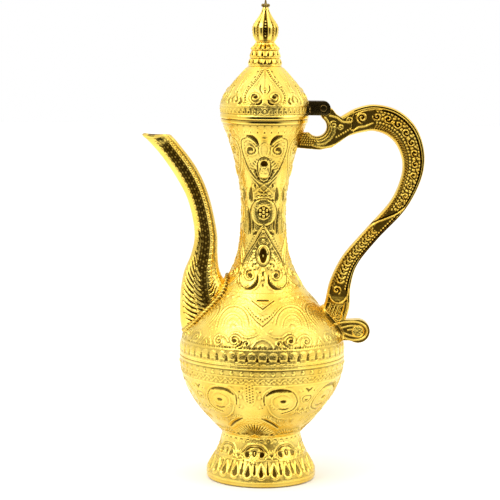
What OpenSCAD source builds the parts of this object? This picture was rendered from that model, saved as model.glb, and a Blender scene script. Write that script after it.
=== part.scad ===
// Coffee pot (dallah): a cast two-part body on a flared foot, with a curved spout, a scrolled handle
// and a domed, hinged lid. Millimetres, +Z up, the spout towards -X and the handle towards +X.
// The origin is the centre of the base pad's underside.

/* [Body] */
// Outer radius of the body at its widest, where its two castings meet
belly_r = 55; // [50:0.5:66]
// Height of the lower casting, from the foot to the seam
bowl_h = 52.3; // [46:0.1:62]
// Height of the upper casting, from the seam to the mouth
upper_h = 157; // [138:1:188]
// Outer radius at the shoulder, between the belly and the neck
shoulder_r = 30.3; // [27:0.1:36]
// Height of the shoulder above the seam
shoulder_h = 42; // [36:0.5:48]
// Outer radius at the neck's narrowest
neck_r = 14.8; // [13:0.1:18]
// Height of the neck's narrowest above the seam
neck_h = 95; // [85:1:105]
// Outer radius at the mouth
mouth_r = 28.9; // [26:0.1:34]
// Wall of the castings
wall = 1.6; // [1.4:0.1:2.2]

/* [Foot] */
// Height of the foot
foot_h = 31.7; // [26:0.1:38]
// Outer radius of the waist between the foot and the bowl
waist_r = 26.3; // [23:0.1:31]
// Outer radius of the foot's rim
foot_r = 36.4; // [33:0.1:43]
// Floor thickness of the bowl, and of the foot's web under it
floor_t = 2.4; // [2:0.1:3.2]
// Thickness of the plate that closes the foot
plate_t = 1.6; // [1.2:0.1:2.4]
// Thickness of the felt pad under the plate
pad_t = 2; // [1.5:0.1:3]
// How far the pad stands below the foot's rim
pad_proud = 0.5; // [0.3:0.1:0.8]

/* [Lid] */
// How far the lid's rim stands out past the mouth
lid_overhang = 0.4; // [0.2:0.1:1]
// Height of the lid's upright rim
lid_rim_h = 8.7; // [7:0.1:11]
// Height of the lid's dome above its rim
dome_h = 25.5; // [20:0.5:31]
// Outer radius of the flat seat on top of the dome
seat_r = 11; // [9:0.1:13.2]
// Height of the tiered collar on the dome
collar_h = 15.5; // [13:0.5:19]
// Height of the fluted bud
bud_h = 23; // [19:0.5:28]
// Largest radius of the bud
bud_r = 8.8; // [7.5:0.1:10.6]
// Height of the flower and spike on the bud
tip_h = 5.5; // [4.5:0.1:7]
// Depth of the lid's skirt in the mouth
skirt_depth = 3.5; // [3:0.1:4.2]

/* [Hinge] */
// Distance of the hinge pin from the lid's rim
hinge_out = 9.5; // [8.5:0.1:11.5]
// Height of the hinge pin above the mouth
hinge_rise = 7.4; // [6.5:0.1:8.9]
// Radius of the hinge pin
pin_r = 1.5; // [1.2:0.05:1.8]
// Outer radius of the leaf's knuckle
knuckle_r = 4.7; // [4:0.1:5.6]
// Thickness of each cheek of the leaf
cheek_t = 2.2; // [1.8:0.1:2.7]
// Thickness of the handle's hinge ear
ear_t = 5; // [4.2:0.1:6]

/* [Spout] */
// Reach of the spout's lip beyond the belly
spout_reach = 25.9; // [21:0.1:31]
// Height of the spout's lip above the seam
spout_rise = 145.8; // [125:0.1:174]
// Wall of the spout
spout_wall = 1.4; // [1.2:0.1:1.8]
// Thickness of the saddle flange between the spout and the body
flange_t = 1.6; // [1.3:0.1:2]
// Half length of the port through the body's wall into the spout
port_half = 15; // [12:0.5:16]
// Half width of that port
port_r = 7; // [5.5:0.1:8.4]

/* [Handle] */
// Reach of the handle's grip beyond the hinge pin, to its centre line
handle_reach = 60.3; // [50:0.1:72]
// Thickness of the handle from front to back
handle_t = 9.5; // [8:0.1:11.4]
// Thickness of the handle's lower pad
pad_plate_t = 2; // [1.6:0.1:2.6]
// Radius of the curled thumb rest under the handle
curl_r = 7.9; // [6.6:0.1:9.4]
// Radius of the round gap under the hinge
gap_r = 6.4; // [5.6:0.1:7]

/* [Fasteners] */
// Thread radius of the bolt that joins the foot to the bowl
foot_bolt_r = 3; // [2.5:0.1:3.6]
// Thread radius of the screws that hold the handle
screw_r = 2; // [1.6:0.1:2.4]
// Length of each handle screw in the handle
screw_bite = 8.5; // [7:0.1:10]
// Thread radius of the stud through the lid
stud_r = 2; // [1.6:0.1:2.4]
// Radius of the rivets that hold the hinge leaf
rivet_r = 1; // [0.8:0.05:1.2]

/* [Clearances] */
// Radial clearance of a thread or pin in its own hole
thread_clear = 0.05; // [0.02:0.01:0.08]
// Radial clearance of a bolt in a plain through hole
hole_clear = 0.2; // [0.15:0.05:0.4]
// Gap between soldered or clamped curved faces
joint_gap = 0.02; // [0.01:0.01:0.05]
// Gap between the lid's rim and the mouth, and between moving faces
moving_gap = 0.3; // [0.25:0.05:0.5]
// Radial gap between the lid's skirt and the mouth
skirt_gap = 1; // [0.9:0.05:1.4]
// Gap between each cheek of the leaf and the handle's ear
cheek_gap = 0.2; // [0.15:0.05:0.3]

/* [Hidden] */
$fn = 96;
steps = 9;
seam_z = foot_h + bowl_h;
mouth_z = seam_z + upper_h;
lid_r = mouth_r + lid_overhang;
rim_z = mouth_z + moving_gap;
dome_z = rim_z + lid_rim_h;
seat_z = dome_z + dome_h;
bud_z = seat_z + collar_h;
tip_z = bud_z + bud_h;
hinge_x = lid_r + hinge_out;
hinge_z = mouth_z + hinge_rise;
cheek_in = ear_t / 2 + cheek_gap;
leaf_w = 2 * (cheek_in + cheek_t);
gold = "#e8c23c";
pale_gold = "#f2d45c";
steel = "#8f8f8c";

// ---- Curves ----------------------------------------------------------------------------------

function bezier(p, t) =
    pow(1 - t, 3) * p[0] + 3 * pow(1 - t, 2) * t * p[1] + 3 * (1 - t) * t * t * p[2] + pow(t, 3) * p[3];
function bezier_slope(p, t) =
    pow(1 - t, 2) * (p[1] - p[0]) + 2 * (1 - t) * t * (p[2] - p[1]) + t * t * (p[3] - p[2]);
function unit(v) = v / norm(v);
function reversed(list) = [for (i = [len(list) - 1 : -1 : 0]) list[i]];

// Points of a curve, moved sideways by `out` to the right of the way it runs
function curve(p, out = 0, first = 0) = [
    for (i = [first : steps]) let (t = i / steps, d = unit(bezier_slope(p, t)))
        bezier(p, t) + out * [d[1], -d[0]]
];

// Catmull-Rom spline through a list of stations, `per` steps for each span
function spline_at(s, i, t) =
    let (n = len(s) - 1, a = s[max(i - 1, 0)], b = s[i], c = s[min(i + 1, n)], d = s[min(i + 2, n)])
        0.5 * (2 * b + t * (c - a) + t * t * (2 * a - 5 * b + 4 * c - d)
            + t * t * t * (3 * b - a - 3 * c + d));
function spline(s, per) = concat(
    [for (i = [0 : len(s) - 2], k = [0 : per - 1]) spline_at(s, i, k / per)], [s[len(s) - 1]]);

// ---- Outline of the body, from the foot up ---------------------------------------------------

bowl_curve = [
    [waist_r, foot_h], [waist_r + 7, foot_h + 8.5], [belly_r, seam_z - 27], [belly_r, seam_z]
];
shoulder = [shoulder_r, seam_z + shoulder_h];
belly_curve = [[belly_r, seam_z], [belly_r, seam_z + 18], shoulder + [18.5, -22.5], shoulder];
neck_curve = [
    shoulder, shoulder + [-12, 15.5], [neck_r, seam_z + neck_h - 26], [neck_r, seam_z + neck_h]
];
mouth_curve = [
    [neck_r, seam_z + neck_h], [neck_r, seam_z + neck_h + 32], [mouth_r - 2.4, mouth_z - 7.2],
    [mouth_r, mouth_z]
];
foot_curve = [[foot_r, 5.4], [foot_r - 2.2, 13], [waist_r + 0.4, 19], [waist_r, foot_h]];

function upper_line(out) = concat(
    curve(belly_curve, out), curve(neck_curve, out, 1), curve(mouth_curve, out, 1));

// The inside of the upper casting, `more` away from its wall, level with the mouth at the top
function upper_inside(more = 0) = concat(
    [for (p = upper_line(-wall - more)) if (p[1] < mouth_z - 1) p],
    [[mouth_r - 1.05 * wall - more, mouth_z]]);

// Everything inside the body's outer surface, grown by `grow`
module body_mass(grow = 0) {
    side = concat(curve(bowl_curve, grow), upper_line(grow));
    rotate_extrude() polygon(concat([[0, foot_h]], side, [[0, mouth_z]]));
}

// The hollow of the upper casting, a joint's gap inside its wall
module upper_hollow() {
    rotate_extrude() polygon(concat([[0, seam_z]], upper_inside(joint_gap), [[0, mouth_z]]));
}

// A bar with round ends, `half` long and `r` wide each way from its middle, along its own Z
module slot_bar(half, r, from, to) {
    translate([0, 0, from]) linear_extrude(to - from) {
        square([2 * (half - r), 2 * r], center = true);
        for (side = [-1, 1]) translate([side * (half - r), 0]) circle(r);
    }
}

// ---- Body castings ---------------------------------------------------------------------------

spout_root = [-38.7 / 55 * belly_r, 0, seam_z + 34.5];
spout_tilt = -49;
handle_root = [46.2 / 55 * belly_r, 0, seam_z + 20.4];
handle_tilt = 51;

// Centre lines of the handle's screws, from low to high
lower_screw_z = [seam_z + 16, seam_z + 27.5];
upper_screw_z = mouth_z - 15.2;

module spout_port() {
    translate(spout_root) rotate([0, spout_tilt, 0]) slot_bar(port_half, port_r, -14, 14);
}

module screw_holes(r) {
    for (z = concat(lower_screw_z, [upper_screw_z]))
        translate([8, 0, z]) rotate([0, 90, 0]) cylinder(h = belly_r, r = r);
}

module upper_body() {
    color(gold) difference() {
        rotate_extrude() polygon(concat(upper_line(0), reversed(upper_inside())));
        spout_port();
        screw_holes(screw_r + hole_clear);
    }
}

// The spigot keeps the two castings in line at the seam
spigot_t = 1.4;
spigot_h = 5;
spigot_r = body_r_at(seam_z + spigot_h) - wall - hole_clear;

module lower_body() {
    inner = reversed([for (p = curve(bowl_curve, -wall)) if (p[1] > foot_h + floor_t) p]);
    floor_in = inner[len(inner) - 1];
    color(gold) difference() {
        union() {
            rotate_extrude() polygon(concat(
                [[0, foot_h]], curve(bowl_curve), inner,
                [[floor_in[0], foot_h + floor_t], [0, foot_h + floor_t]]));
            rotate_extrude() polygon([
                [spigot_r - spigot_t, seam_z - spigot_h], [belly_r - wall / 2, seam_z - spigot_h],
                [belly_r - wall / 2, seam_z], [spigot_r, seam_z], [spigot_r, seam_z + spigot_h],
                [spigot_r - spigot_t, seam_z + spigot_h]
            ]);
        }
        translate([0, 0, foot_h - 1]) cylinder(h = floor_t + 2, r = foot_bolt_r + hole_clear);
    }
}

// ---- Foot ------------------------------------------------------------------------------------

foot_lip = 2.2;
plate_seat_z = pad_t + plate_t;

module foot() {
    inner = reversed([
        for (p = curve(foot_curve, -wall)) if (p[1] < foot_h - floor_t && p[1] > plate_seat_z) p
    ]);
    web_z = foot_h - floor_t;
    color(gold) difference() {
        rotate_extrude() polygon(concat(
            [[foot_r - foot_lip, pad_proud], [foot_r - 0.6, pad_proud], [foot_r, pad_proud + 1]],
            curve(foot_curve), [[0, foot_h], [0, web_z], [inner[0][0], web_z]], inner,
            [[foot_r - foot_lip - 1.6, plate_seat_z], [foot_r - foot_lip, plate_seat_z]]));
        translate([0, 0, web_z - 1]) cylinder(h = floor_t + 2, r = foot_bolt_r + hole_clear);
    }
}

module base_plate() {
    color(gold) translate([0, 0, pad_t]) cylinder(h = plate_t, r = foot_r - foot_lip - joint_gap);
}

module base_pad() {
    color("#2a2622") cylinder(h = pad_t, r = foot_r - foot_lip - 0.6);
}

seal_t = 1.2;
bolt_head_t = 3;
washer_t = 1;
nut_t = 4.5;
seal_z = foot_h + floor_t;
web_under = foot_h - floor_t;

module foot_bolt() {
    bolt_end = web_under - washer_t - nut_t - 1.5;
    color(steel) {
        translate([0, 0, seal_z + seal_t]) cylinder(h = bolt_head_t, r = 1.8 * foot_bolt_r);
        translate([0, 0, bolt_end]) cylinder(h = seal_z + seal_t - bolt_end, r = foot_bolt_r);
    }
}

module ring(z, h, outer, bore) {
    translate([0, 0, z]) difference() {
        cylinder(h = h, r = outer);
        translate([0, 0, -1]) cylinder(h = h + 2, r = bore);
    }
}

module foot_seal() {
    color("#1f1f1f") ring(seal_z, seal_t, 2.4 * foot_bolt_r, foot_bolt_r + thread_clear);
}

module foot_washer() {
    color(steel) ring(web_under - washer_t, washer_t, 2.1 * foot_bolt_r, foot_bolt_r + hole_clear);
}

module hex_nut(z, h, thread) {
    translate([0, 0, z]) difference() {
        cylinder(h = h, r = 1.92 * thread, $fn = 6);
        translate([0, 0, -1]) cylinder(h = h + 2, r = thread + thread_clear);
    }
}

module foot_nut() {
    color(steel) hex_nut(web_under - washer_t - nut_t, nut_t, foot_bolt_r);
}

// ---- Spout -----------------------------------------------------------------------------------

// Each station is the outer edge and the inner edge of one section, seen from the front, and its
// half depth: [x outer, z outer, x inner, z inner, half depth]. Distances run out from the belly and
// up from the seam.
function spout_station(x_out, z_out, x_in, z_in, depth) = [
    -(belly_r + x_out / 25.9 * spout_reach), seam_z + z_out / 145.8 * spout_rise,
    -(belly_r + x_in / 25.9 * spout_reach), seam_z + z_in / 145.8 * spout_rise, depth
];
spout_stations = [
    spout_station(25.9, 145.8, 7, 145.8, 6.3),
    spout_station(14.4, 133.7, 2.6, 141.4, 6.5),
    spout_station(3, 117.5, -10.2, 124.6, 6.5),
    spout_station(-5.1, 101.4, -18.5, 106.3, 6.8),
    spout_station(-9.2, 81, -24.2, 82, 7.2),
    spout_station(-7.1, 67, -24.9, 66, 8.4),
    spout_station(-1.8, 52.8, -26.4, 55.5, 10.8),
    spout_station(0.3, 34, -31, 47, 13),
    spout_station(-1.6, 15, -39, 39, 14),
    spout_station(-12, 0, -49, 26, 14)
];
spout_per = 4;
spout_sides = 12;

// One point of a half section: `a` runs from 0 at the outer edge to 180 at the inner edge
function spout_point(s, a, less, side) =
    let (o = [s[0], s[1]], i = [s[2], s[3]], mid = (o + i) / 2, half = norm(i - o) / 2 - less,
        q = mid - unit(i - o) * half * cos(a))
        [q[0], side * (s[4] - less) * sin(a), q[1]];

// A half of the spout's shell, on the front (side -1) or the rear (side 1) of its middle plane
module spout_half(side) {
    rings = spline(spout_stations, spout_per);
    arc = [for (k = [0 : spout_sides]) 180 * k / spout_sides];
    loop = 2 * len(arc);
    points = [for (s = rings) each concat(
        [for (a = arc) spout_point(s, a, 0, side)],
        [for (k = [spout_sides : -1 : 0]) spout_point(s, arc[k], spout_wall, side)])];
    last = (len(rings) - 1) * loop;
    quads = [for (r = [0 : len(rings) - 2], k = [0 : loop - 1])
        let (n = (k + 1) % loop) [r * loop + k, r * loop + n, (r + 1) * loop + n, (r + 1) * loop + k]];
    ends = [for (k = [0 : spout_sides - 1]) let (m = loop - 1 - k) each [
        [k, m, m - 1, k + 1], [last + k, last + k + 1, last + m - 1, last + m]]];
    faces = concat(quads, ends);
    difference() {
        polyhedron(points, side < 0 ? faces : [for (f = faces) reversed(f)]);
        body_mass(flange_t + joint_gap);
    }
}

module spout_front_half() {
    color(pale_gold) spout_half(-1);
}

module spout_rear_half() {
    color(pale_gold) spout_half(1);
}

flange_half = 22.5;
flange_r = 15;

module spout_flange() {
    color(gold) intersection() {
        difference() {
            body_mass(flange_t);
            body_mass(joint_gap);
            spout_port();
        }
        translate(spout_root) rotate([0, spout_tilt, 0]) slot_bar(flange_half, flange_r, -12, 25);
    }
}

// ---- Handle ----------------------------------------------------------------------------------

// Centre line of the grip and its width, seen from the front: [x, z, width]. The first stations
// follow the hinge pin and the last ones the belly.
function grip_x(f) = hinge_x + f * handle_reach;
function grip_z(f) = seam_z + f * upper_h;
handle_stations = [
    [hinge_x + 5, mouth_z - 8, 13.5],
    [hinge_x + 14.4, mouth_z - 4.4, 14],
    [grip_x(0.396), mouth_z - 0.4, 16.5],
    [grip_x(0.564), mouth_z + 1.3, 17.5],
    [grip_x(0.76), mouth_z - 2, 18],
    [grip_x(0.915), grip_z(0.93), 17.2],
    [grip_x(0.993), grip_z(0.841), 15.2],
    [grip_x(0.967), grip_z(0.748), 13.2],
    [grip_x(0.827), grip_z(0.637), 11.4],
    [grip_x(0.552), grip_z(0.517), 10.4],
    [belly_r + 3, grip_z(0.405), 11.5],
    [belly_r - 3.4, grip_z(0.302), 14.5],
    [belly_r - 5.6, seam_z + 32, 17],
    [belly_r - 11, seam_z + 20, 18]
];
handle_per = 3;

// A quarter of the grip's section, as shares of its half width and half thickness: a rail along
// each edge and a sunk panel between them
rail_quarter = [[1, 0], [0.97, 0.55], [0.84, 0.98], [0.62, 1], [0.46, 0.72], [0, 0.66]];
rail_section = concat(
    rail_quarter,
    [for (i = [4 : -1 : 1]) [-rail_quarter[i][0], rail_quarter[i][1]]],
    [for (i = [0 : 5]) -rail_quarter[i]],
    [for (i = [4 : -1 : 1]) [rail_quarter[i][0], -rail_quarter[i][1]]]);

module grip() {
    line = spline(handle_stations, handle_per);
    n = len(line) - 1;
    m = len(rail_section);
    points = [for (i = [0 : n])
        let (a = line[max(i - 1, 0)], b = line[min(i + 1, n)], d = unit([b[0] - a[0], b[1] - a[1]]))
            for (s = rail_section) let (w = s[0] * line[i][2] / 2)
                [line[i][0] - d[1] * w, s[1] * handle_t / 2, line[i][1] + d[0] * w]];
    sides = [for (i = [0 : n - 1], k = [0 : m - 1])
        let (k2 = (k + 1) % m) [i * m + k, i * m + k2, (i + 1) * m + k2, (i + 1) * m + k]];
    polyhedron(points, concat(
        sides, [[for (k = [m - 1 : -1 : 0]) k]], [[for (k = [0 : m - 1]) n * m + k]]), convexity = 6);
}

// A plate of thickness `t` whose outline is drawn in X and Z
module upright_plate(t) {
    translate([0, t / 2, 0]) rotate([90, 0, 0]) linear_extrude(t) children();
}

gap_x = hinge_x - 4.1;
gap_z = mouth_z - 4.8;

// The end that bolts to the neck and carries the hinge ear over a round gap
module hinge_bracket() {
    difference() {
        upright_plate(handle_t) difference() {
            polygon([
                [mouth_r - 11, mouth_z - 18.5], [hinge_x - 9, mouth_z - 19.5],
                [hinge_x - 2, mouth_z - 20], [hinge_x + 6, mouth_z - 18.3],
                [hinge_x + 12, mouth_z - 14], [hinge_x + 18, mouth_z - 9.5],
                [hinge_x + 19.4, mouth_z + 2.6], [hinge_x + 13, mouth_z + 0.9],
                [hinge_x + 8.8, mouth_z + 3.4], [hinge_x + 5.8, mouth_z + 7.2],
                [hinge_x + 2.5, mouth_z + 5], [gap_x, gap_z], [mouth_r - 11, gap_z - 4]
            ]);
            translate([gap_x, gap_z]) circle(gap_r);
            translate([gap_x - gap_r - 12, gap_z - 3.8]) square([gap_r + 14, 20]);
        }
        translate([hinge_x, handle_t, hinge_z]) rotate([90, 0, 0])
            cylinder(h = 2 * handle_t, r = knuckle_r + moving_gap);
    }
    upright_plate(ear_t) difference() {
        union() {
            translate([hinge_x, hinge_z]) circle(knuckle_r - moving_gap);
            polygon([
                [hinge_x - 3, hinge_z - 3], [hinge_x + 2.5, hinge_z + 3.4],
                [hinge_x + 8.6, mouth_z + 3], [hinge_x + 8, mouth_z - 4], [hinge_x + 2.2, mouth_z - 4]
            ]);
        }
        translate([gap_x, gap_z]) circle(gap_r);
    }
}

// The curled thumb rest below the grip
module thumb_curl() {
    curl_x = belly_r + 8.9;
    curl_z = seam_z + 16;
    pocket = 1.2;
    difference() {
        upright_plate(handle_t - 1) {
            translate([curl_x, curl_z]) circle(curl_r);
            polygon([
                [belly_r - 8, curl_z - curl_r + 1.4], [belly_r + 3, curl_z - curl_r + 1.6],
                [curl_x, curl_z - curl_r], [curl_x, curl_z + curl_r],
                [belly_r + 0.5, curl_z + curl_r - 0.4], [belly_r - 8, curl_z + curl_r + 2]
            ]);
        }
        for (side = [-1, 1])
            translate([curl_x, side * handle_t / 2, curl_z]) rotate([90, 0, 0])
                cylinder(h = 1 + 2 * pocket, r = curl_r / 2, center = true);
    }
}

pad_half = 14;
pad_r = 8;

module handle() {
    color(gold) difference() {
        union() {
            grip();
            hinge_bracket();
            thumb_curl();
            intersection() {
                body_mass(pad_plate_t);
                translate(handle_root) rotate([0, handle_tilt, 0]) slot_bar(pad_half, pad_r, -12, 14);
            }
        }
        body_mass(joint_gap);
        translate([hinge_x, handle_t, hinge_z]) rotate([90, 0, 0])
            cylinder(h = 2 * handle_t, r = pin_r + thread_clear);
        for (i = [0 : 2]) translate([screw_wall_x(i) - screw_inset, 0, screw_z(i)]) rotate([0, 90, 0])
            cylinder(h = screw_inset + screw_bite + 0.5, r = screw_r + thread_clear);
    }
}

// ---- Handle screws ---------------------------------------------------------------------------

function screw_z(i) = i < 2 ? lower_screw_z[i] : upper_screw_z;

// Radius of the body's outer surface at a height above the seam
function body_r_at(z) =
    let (line = upper_line(0), below = [for (p = line) if (p[1] <= z) p], n = len(below),
        a = below[n - 1], b = line[min(n, len(line) - 1)])
        b[1] > a[1] ? a[0] + (b[0] - a[0]) * (z - a[1]) / (b[1] - a[1]) : a[0];
function screw_wall_x(i) = body_r_at(screw_z(i));

screw_head_t = 2.2;
screw_head_r = 1.8 * screw_r;
screw_washer_r = screw_head_r + 0.6;
// How far the wall falls back over a washer's face, at the screw where it leans most
wall_fall = max([for (i = [0 : 2], side = [-1, 1])
    screw_wall_x(i) - body_r_at(screw_z(i) + side * screw_washer_r)]);
// The head bears on its washer this far inside the body's outer surface
screw_inset = wall_fall + 1.6 * wall;

module handle_screw(i) {
    head_x = screw_wall_x(i) - screw_inset;
    translate([head_x - screw_head_t, 0, screw_z(i)]) rotate([0, 90, 0])
        cylinder(h = screw_head_t, r = screw_head_r);
    translate([head_x - 0.5, 0, screw_z(i)]) rotate([0, 90, 0])
        cylinder(h = screw_inset + 0.5 + screw_bite, r = screw_r);
}

module handle_upper_screw() {
    color(steel) handle_screw(2);
}

module handle_lower_screws() {
    color(steel) for (i = [0, 1]) handle_screw(i);
}

// Shaped washers: flat for the screw head, and curved to bed on the inside of the wall
module handle_screw_washers() {
    color(steel) for (i = [0 : 2]) intersection() {
        difference() {
            translate([screw_wall_x(i) - screw_inset, 0, screw_z(i)]) rotate([0, 90, 0])
                cylinder(h = screw_inset + 4, r = screw_washer_r);
            translate([screw_wall_x(i) - screw_inset - 1, 0, screw_z(i)]) rotate([0, 90, 0])
                cylinder(h = screw_inset + 6, r = screw_r + hole_clear);
        }
        upper_hollow();
    }
}

// ---- Hinge -----------------------------------------------------------------------------------

pin_head_t = 0.8;
pin_head_r = pin_r + 0.7;

module hinge_pin() {
    color(gold) translate([hinge_x, 0, hinge_z]) rotate([90, 0, 0]) {
        cylinder(h = leaf_w + 0.2, r = pin_r, center = true);
        for (side = [-1, 1]) translate([0, 0, side * (leaf_w / 2 + 0.1 + pin_head_t / 2)])
            cylinder(h = pin_head_t, r = pin_head_r, center = true);
    }
}

saddle_t = 1.2;
saddle_half = 10;
rivet_turn = 15;
rivet_z = rim_z + 6;

module hinge_leaf() {
    saddle_low = rim_z + 3;
    saddle_high = rim_z + lid_rim_h;
    color(gold) difference() {
        union() {
            intersection() {
                ring(saddle_low, saddle_high - saddle_low, lid_r + saddle_t, lid_r + joint_gap);
                translate([0, -saddle_half, 0]) cube([2 * lid_r, 2 * saddle_half, 2 * mouth_z]);
            }
            difference() {
                for (side = [-1, 1]) translate([0, side * (cheek_in + cheek_t / 2), 0]) upright_plate(cheek_t) {
                    translate([hinge_x, hinge_z]) circle(knuckle_r);
                    translate([lid_r - 2, hinge_z - knuckle_r]) square([hinge_out + 2, 2 * knuckle_r]);
                }
                translate([0, 0, rim_z - 10]) cylinder(h = lid_rim_h + 30, r = lid_r + joint_gap);
            }
        }
        translate([hinge_x, leaf_w, hinge_z]) rotate([90, 0, 0])
            cylinder(h = 2 * leaf_w, r = pin_r + thread_clear);
        leaf_rivet_holes();
    }
}

module leaf_rivet_holes() {
    for (side = [-1, 1]) rotate([0, 0, side * rivet_turn]) translate([lid_r - 6, 0, rivet_z])
        rotate([0, 90, 0]) cylinder(h = 12, r = rivet_r + thread_clear);
}

module leaf_rivets() {
    head_t = 0.8;
    head_r = 1.8 * rivet_r;
    color(gold) for (side = [-1, 1]) rotate([0, 0, side * rivet_turn]) translate([0, 0, rivet_z])
        rotate([0, 90, 0]) {
            translate([0, 0, lid_r - wall - 0.1 - head_t])
                cylinder(h = wall + saddle_t + 0.2 + 2 * head_t, r = rivet_r);
            translate([0, 0, lid_r - wall - 0.1 - head_t]) cylinder(h = head_t, r = head_r);
            translate([0, 0, lid_r + saddle_t + 0.1]) cylinder(h = head_t, r = head_r);
        }
}

// ---- Lid -------------------------------------------------------------------------------------

dome_curve = [[lid_r, dome_z], [lid_r, dome_z + 7.5], [seat_r + 5, seat_z - 5], [seat_r, seat_z]];

module lid_shell() {
    inner = reversed([for (p = curve(dome_curve, -wall)) if (p[1] < seat_z - wall) p]);
    color(gold) difference() {
        rotate_extrude() polygon(concat(
            [[lid_r - wall, rim_z], [lid_r - 0.5, rim_z], [lid_r, rim_z + 0.8], [lid_r, rim_z + 2.4],
                [lid_r - 0.4, rim_z + 3]],
            curve(dome_curve), [[0, seat_z], [0, seat_z - wall], [inner[0][0], seat_z - wall]], inner));
        translate([0, 0, seat_z - wall - 1]) cylinder(h = wall + 2, r = stud_r + hole_clear);
        leaf_rivet_holes();
    }
}

// The inside of the mouth at the skirt's lower and upper edge
skirt_low_r = body_r_at(mouth_z - skirt_depth) - wall - 0.1 - skirt_gap;
skirt_high_r = mouth_r - wall - 0.1 - skirt_gap;
skirt_t = 1.3;

module lid_skirt() {
    seat = lid_r - wall - joint_gap;
    color(gold) rotate_extrude() polygon([
        [skirt_low_r - skirt_t, mouth_z - skirt_depth], [skirt_low_r, mouth_z - skirt_depth],
        [skirt_high_r, rim_z + 0.6], [seat, rim_z + 0.6], [seat, rim_z + 3.4],
        [skirt_high_r - skirt_t, rim_z + 3.4]
    ]);
}

module spire_collar() {
    tier = collar_h / 3;
    color(gold) difference() {
        rotate_extrude() polygon([
            [0, seat_z], [seat_r - 0.2, seat_z], [seat_r - 0.2, seat_z + 0.3 * tier],
            [seat_r - 1, seat_z + 0.9 * tier], [seat_r - 0.9, seat_z + 1.3 * tier],
            [seat_r - 2, seat_z + 1.9 * tier], [seat_r - 1.8, seat_z + 2.3 * tier],
            [seat_r - 4.4, seat_z + 2.8 * tier], [seat_r - 4.8, bud_z], [0, bud_z]
        ]);
        translate([0, 0, seat_z - 1]) cylinder(h = collar_h + 2, r = stud_r + hole_clear);
    }
}

stud_bite = 12;
peg_r = 1;
peg_bite = 3.5;
bud_top_r = 2;

module finial_bud() {
    lower_curve = [[5.4, bud_z], [bud_r - 1, bud_z + 1.5], [bud_r, bud_z + 5], [bud_r, bud_z + 9]];
    upper_curve = [[bud_r, bud_z + 9], [bud_r, bud_z + 13], [bud_top_r + 1, tip_z - 6], [bud_top_r, tip_z]];
    color(gold) difference() {
        rotate_extrude() polygon(concat(
            [[0, bud_z]], curve(lower_curve), curve(upper_curve, 0, 1), [[0, tip_z]]));
        translate([0, 0, bud_z - 1]) cylinder(h = stud_bite + 1.5, r = stud_r + thread_clear);
        translate([0, 0, tip_z - peg_bite - 0.3]) cylinder(h = peg_bite + 2, r = peg_r + thread_clear);
    }
}

module finial_flower() {
    petal_r = 1.15;
    disc_z = tip_z + 1.3;
    color(gold) {
        translate([0, 0, tip_z - peg_bite]) cylinder(h = peg_bite + 1, r = peg_r);
        translate([0, 0, tip_z]) cylinder(h = 1.1, r1 = bud_top_r - 0.4, r2 = 1.2);
        translate([0, 0, disc_z]) sphere(r = 1.5, $fn = 32);
        for (turn = [0 : 90 : 270]) rotate([0, 0, turn]) translate([1.75, 0, disc_z])
            sphere(r = petal_r, $fn = 32);
        translate([0, 0, disc_z]) cylinder(h = tip_h - 1.3, r1 = 1.1, r2 = 0.35);
    }
}

stud_under = seat_z - wall;

module finial_stud() {
    stud_end = stud_under - washer_t - 3.2 - 1.5;
    color(steel) translate([0, 0, stud_end]) cylinder(h = bud_z + stud_bite - stud_end, r = stud_r);
}

module finial_washer() {
    color(steel) ring(stud_under - washer_t, washer_t, 2.4 * stud_r, stud_r + hole_clear);
}

module finial_nut() {
    color(steel) hex_nut(stud_under - washer_t - 3.2, 3.2, stud_r);
}

upper_body();
lower_body();
foot();
base_plate();
base_pad();
foot_bolt();
foot_seal();
foot_washer();
foot_nut();
spout_front_half();
spout_rear_half();
spout_flange();
handle();
handle_upper_screw();
handle_lower_screws();
handle_screw_washers();
hinge_pin();
lid_shell();
lid_skirt();
hinge_leaf();
leaf_rivets();
spire_collar();
finial_bud();
finial_flower();
finial_stud();
finial_washer();
finial_nut();
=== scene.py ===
"""Looks of a cast and gold-plated coffee pot (dallah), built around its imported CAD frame.

The chased ornament is real geometry: every casting is turned or swept at a fine pitch, and the
motifs are drawn on its surface, measured in millimetres across and along it.
"""

import logging
import math
from contextlib import contextmanager
from dataclasses import dataclass, field
from enum import Enum
from typing import Callable, Iterable, Iterator, Sequence

import bpy
import numpy as np
from mathutils import Matrix, Vector


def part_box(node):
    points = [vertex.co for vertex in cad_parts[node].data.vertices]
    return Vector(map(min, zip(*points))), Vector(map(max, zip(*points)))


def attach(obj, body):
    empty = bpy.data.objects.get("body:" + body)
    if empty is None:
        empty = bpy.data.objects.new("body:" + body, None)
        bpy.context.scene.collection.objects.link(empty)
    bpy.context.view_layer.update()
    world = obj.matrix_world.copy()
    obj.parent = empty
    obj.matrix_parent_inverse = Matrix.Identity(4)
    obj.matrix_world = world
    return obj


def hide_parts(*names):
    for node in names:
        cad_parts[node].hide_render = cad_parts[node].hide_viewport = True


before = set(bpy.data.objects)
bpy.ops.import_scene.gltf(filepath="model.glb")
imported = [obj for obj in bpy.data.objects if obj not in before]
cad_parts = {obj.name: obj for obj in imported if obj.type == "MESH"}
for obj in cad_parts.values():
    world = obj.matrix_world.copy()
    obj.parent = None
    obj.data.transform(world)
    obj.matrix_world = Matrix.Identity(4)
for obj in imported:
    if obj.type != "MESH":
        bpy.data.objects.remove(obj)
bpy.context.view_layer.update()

MM = 0.001
FRONT = -math.pi / 2  # the side that faces the viewer, as an angle about the pot's axis
RELIEF_SHARE = 0.62  # how deep turned relief is cast, as a share of the depth it is drawn with
CUT_KEEPS = 0.3  # the share of older relief that is left in the middle of a later cut
OUTSIDE = 9.0  # a share that is past the edge of any stroke
SHADE_PER_MM = 3.4  # how fast the painted shade deepens with the depth below the work around it
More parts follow.
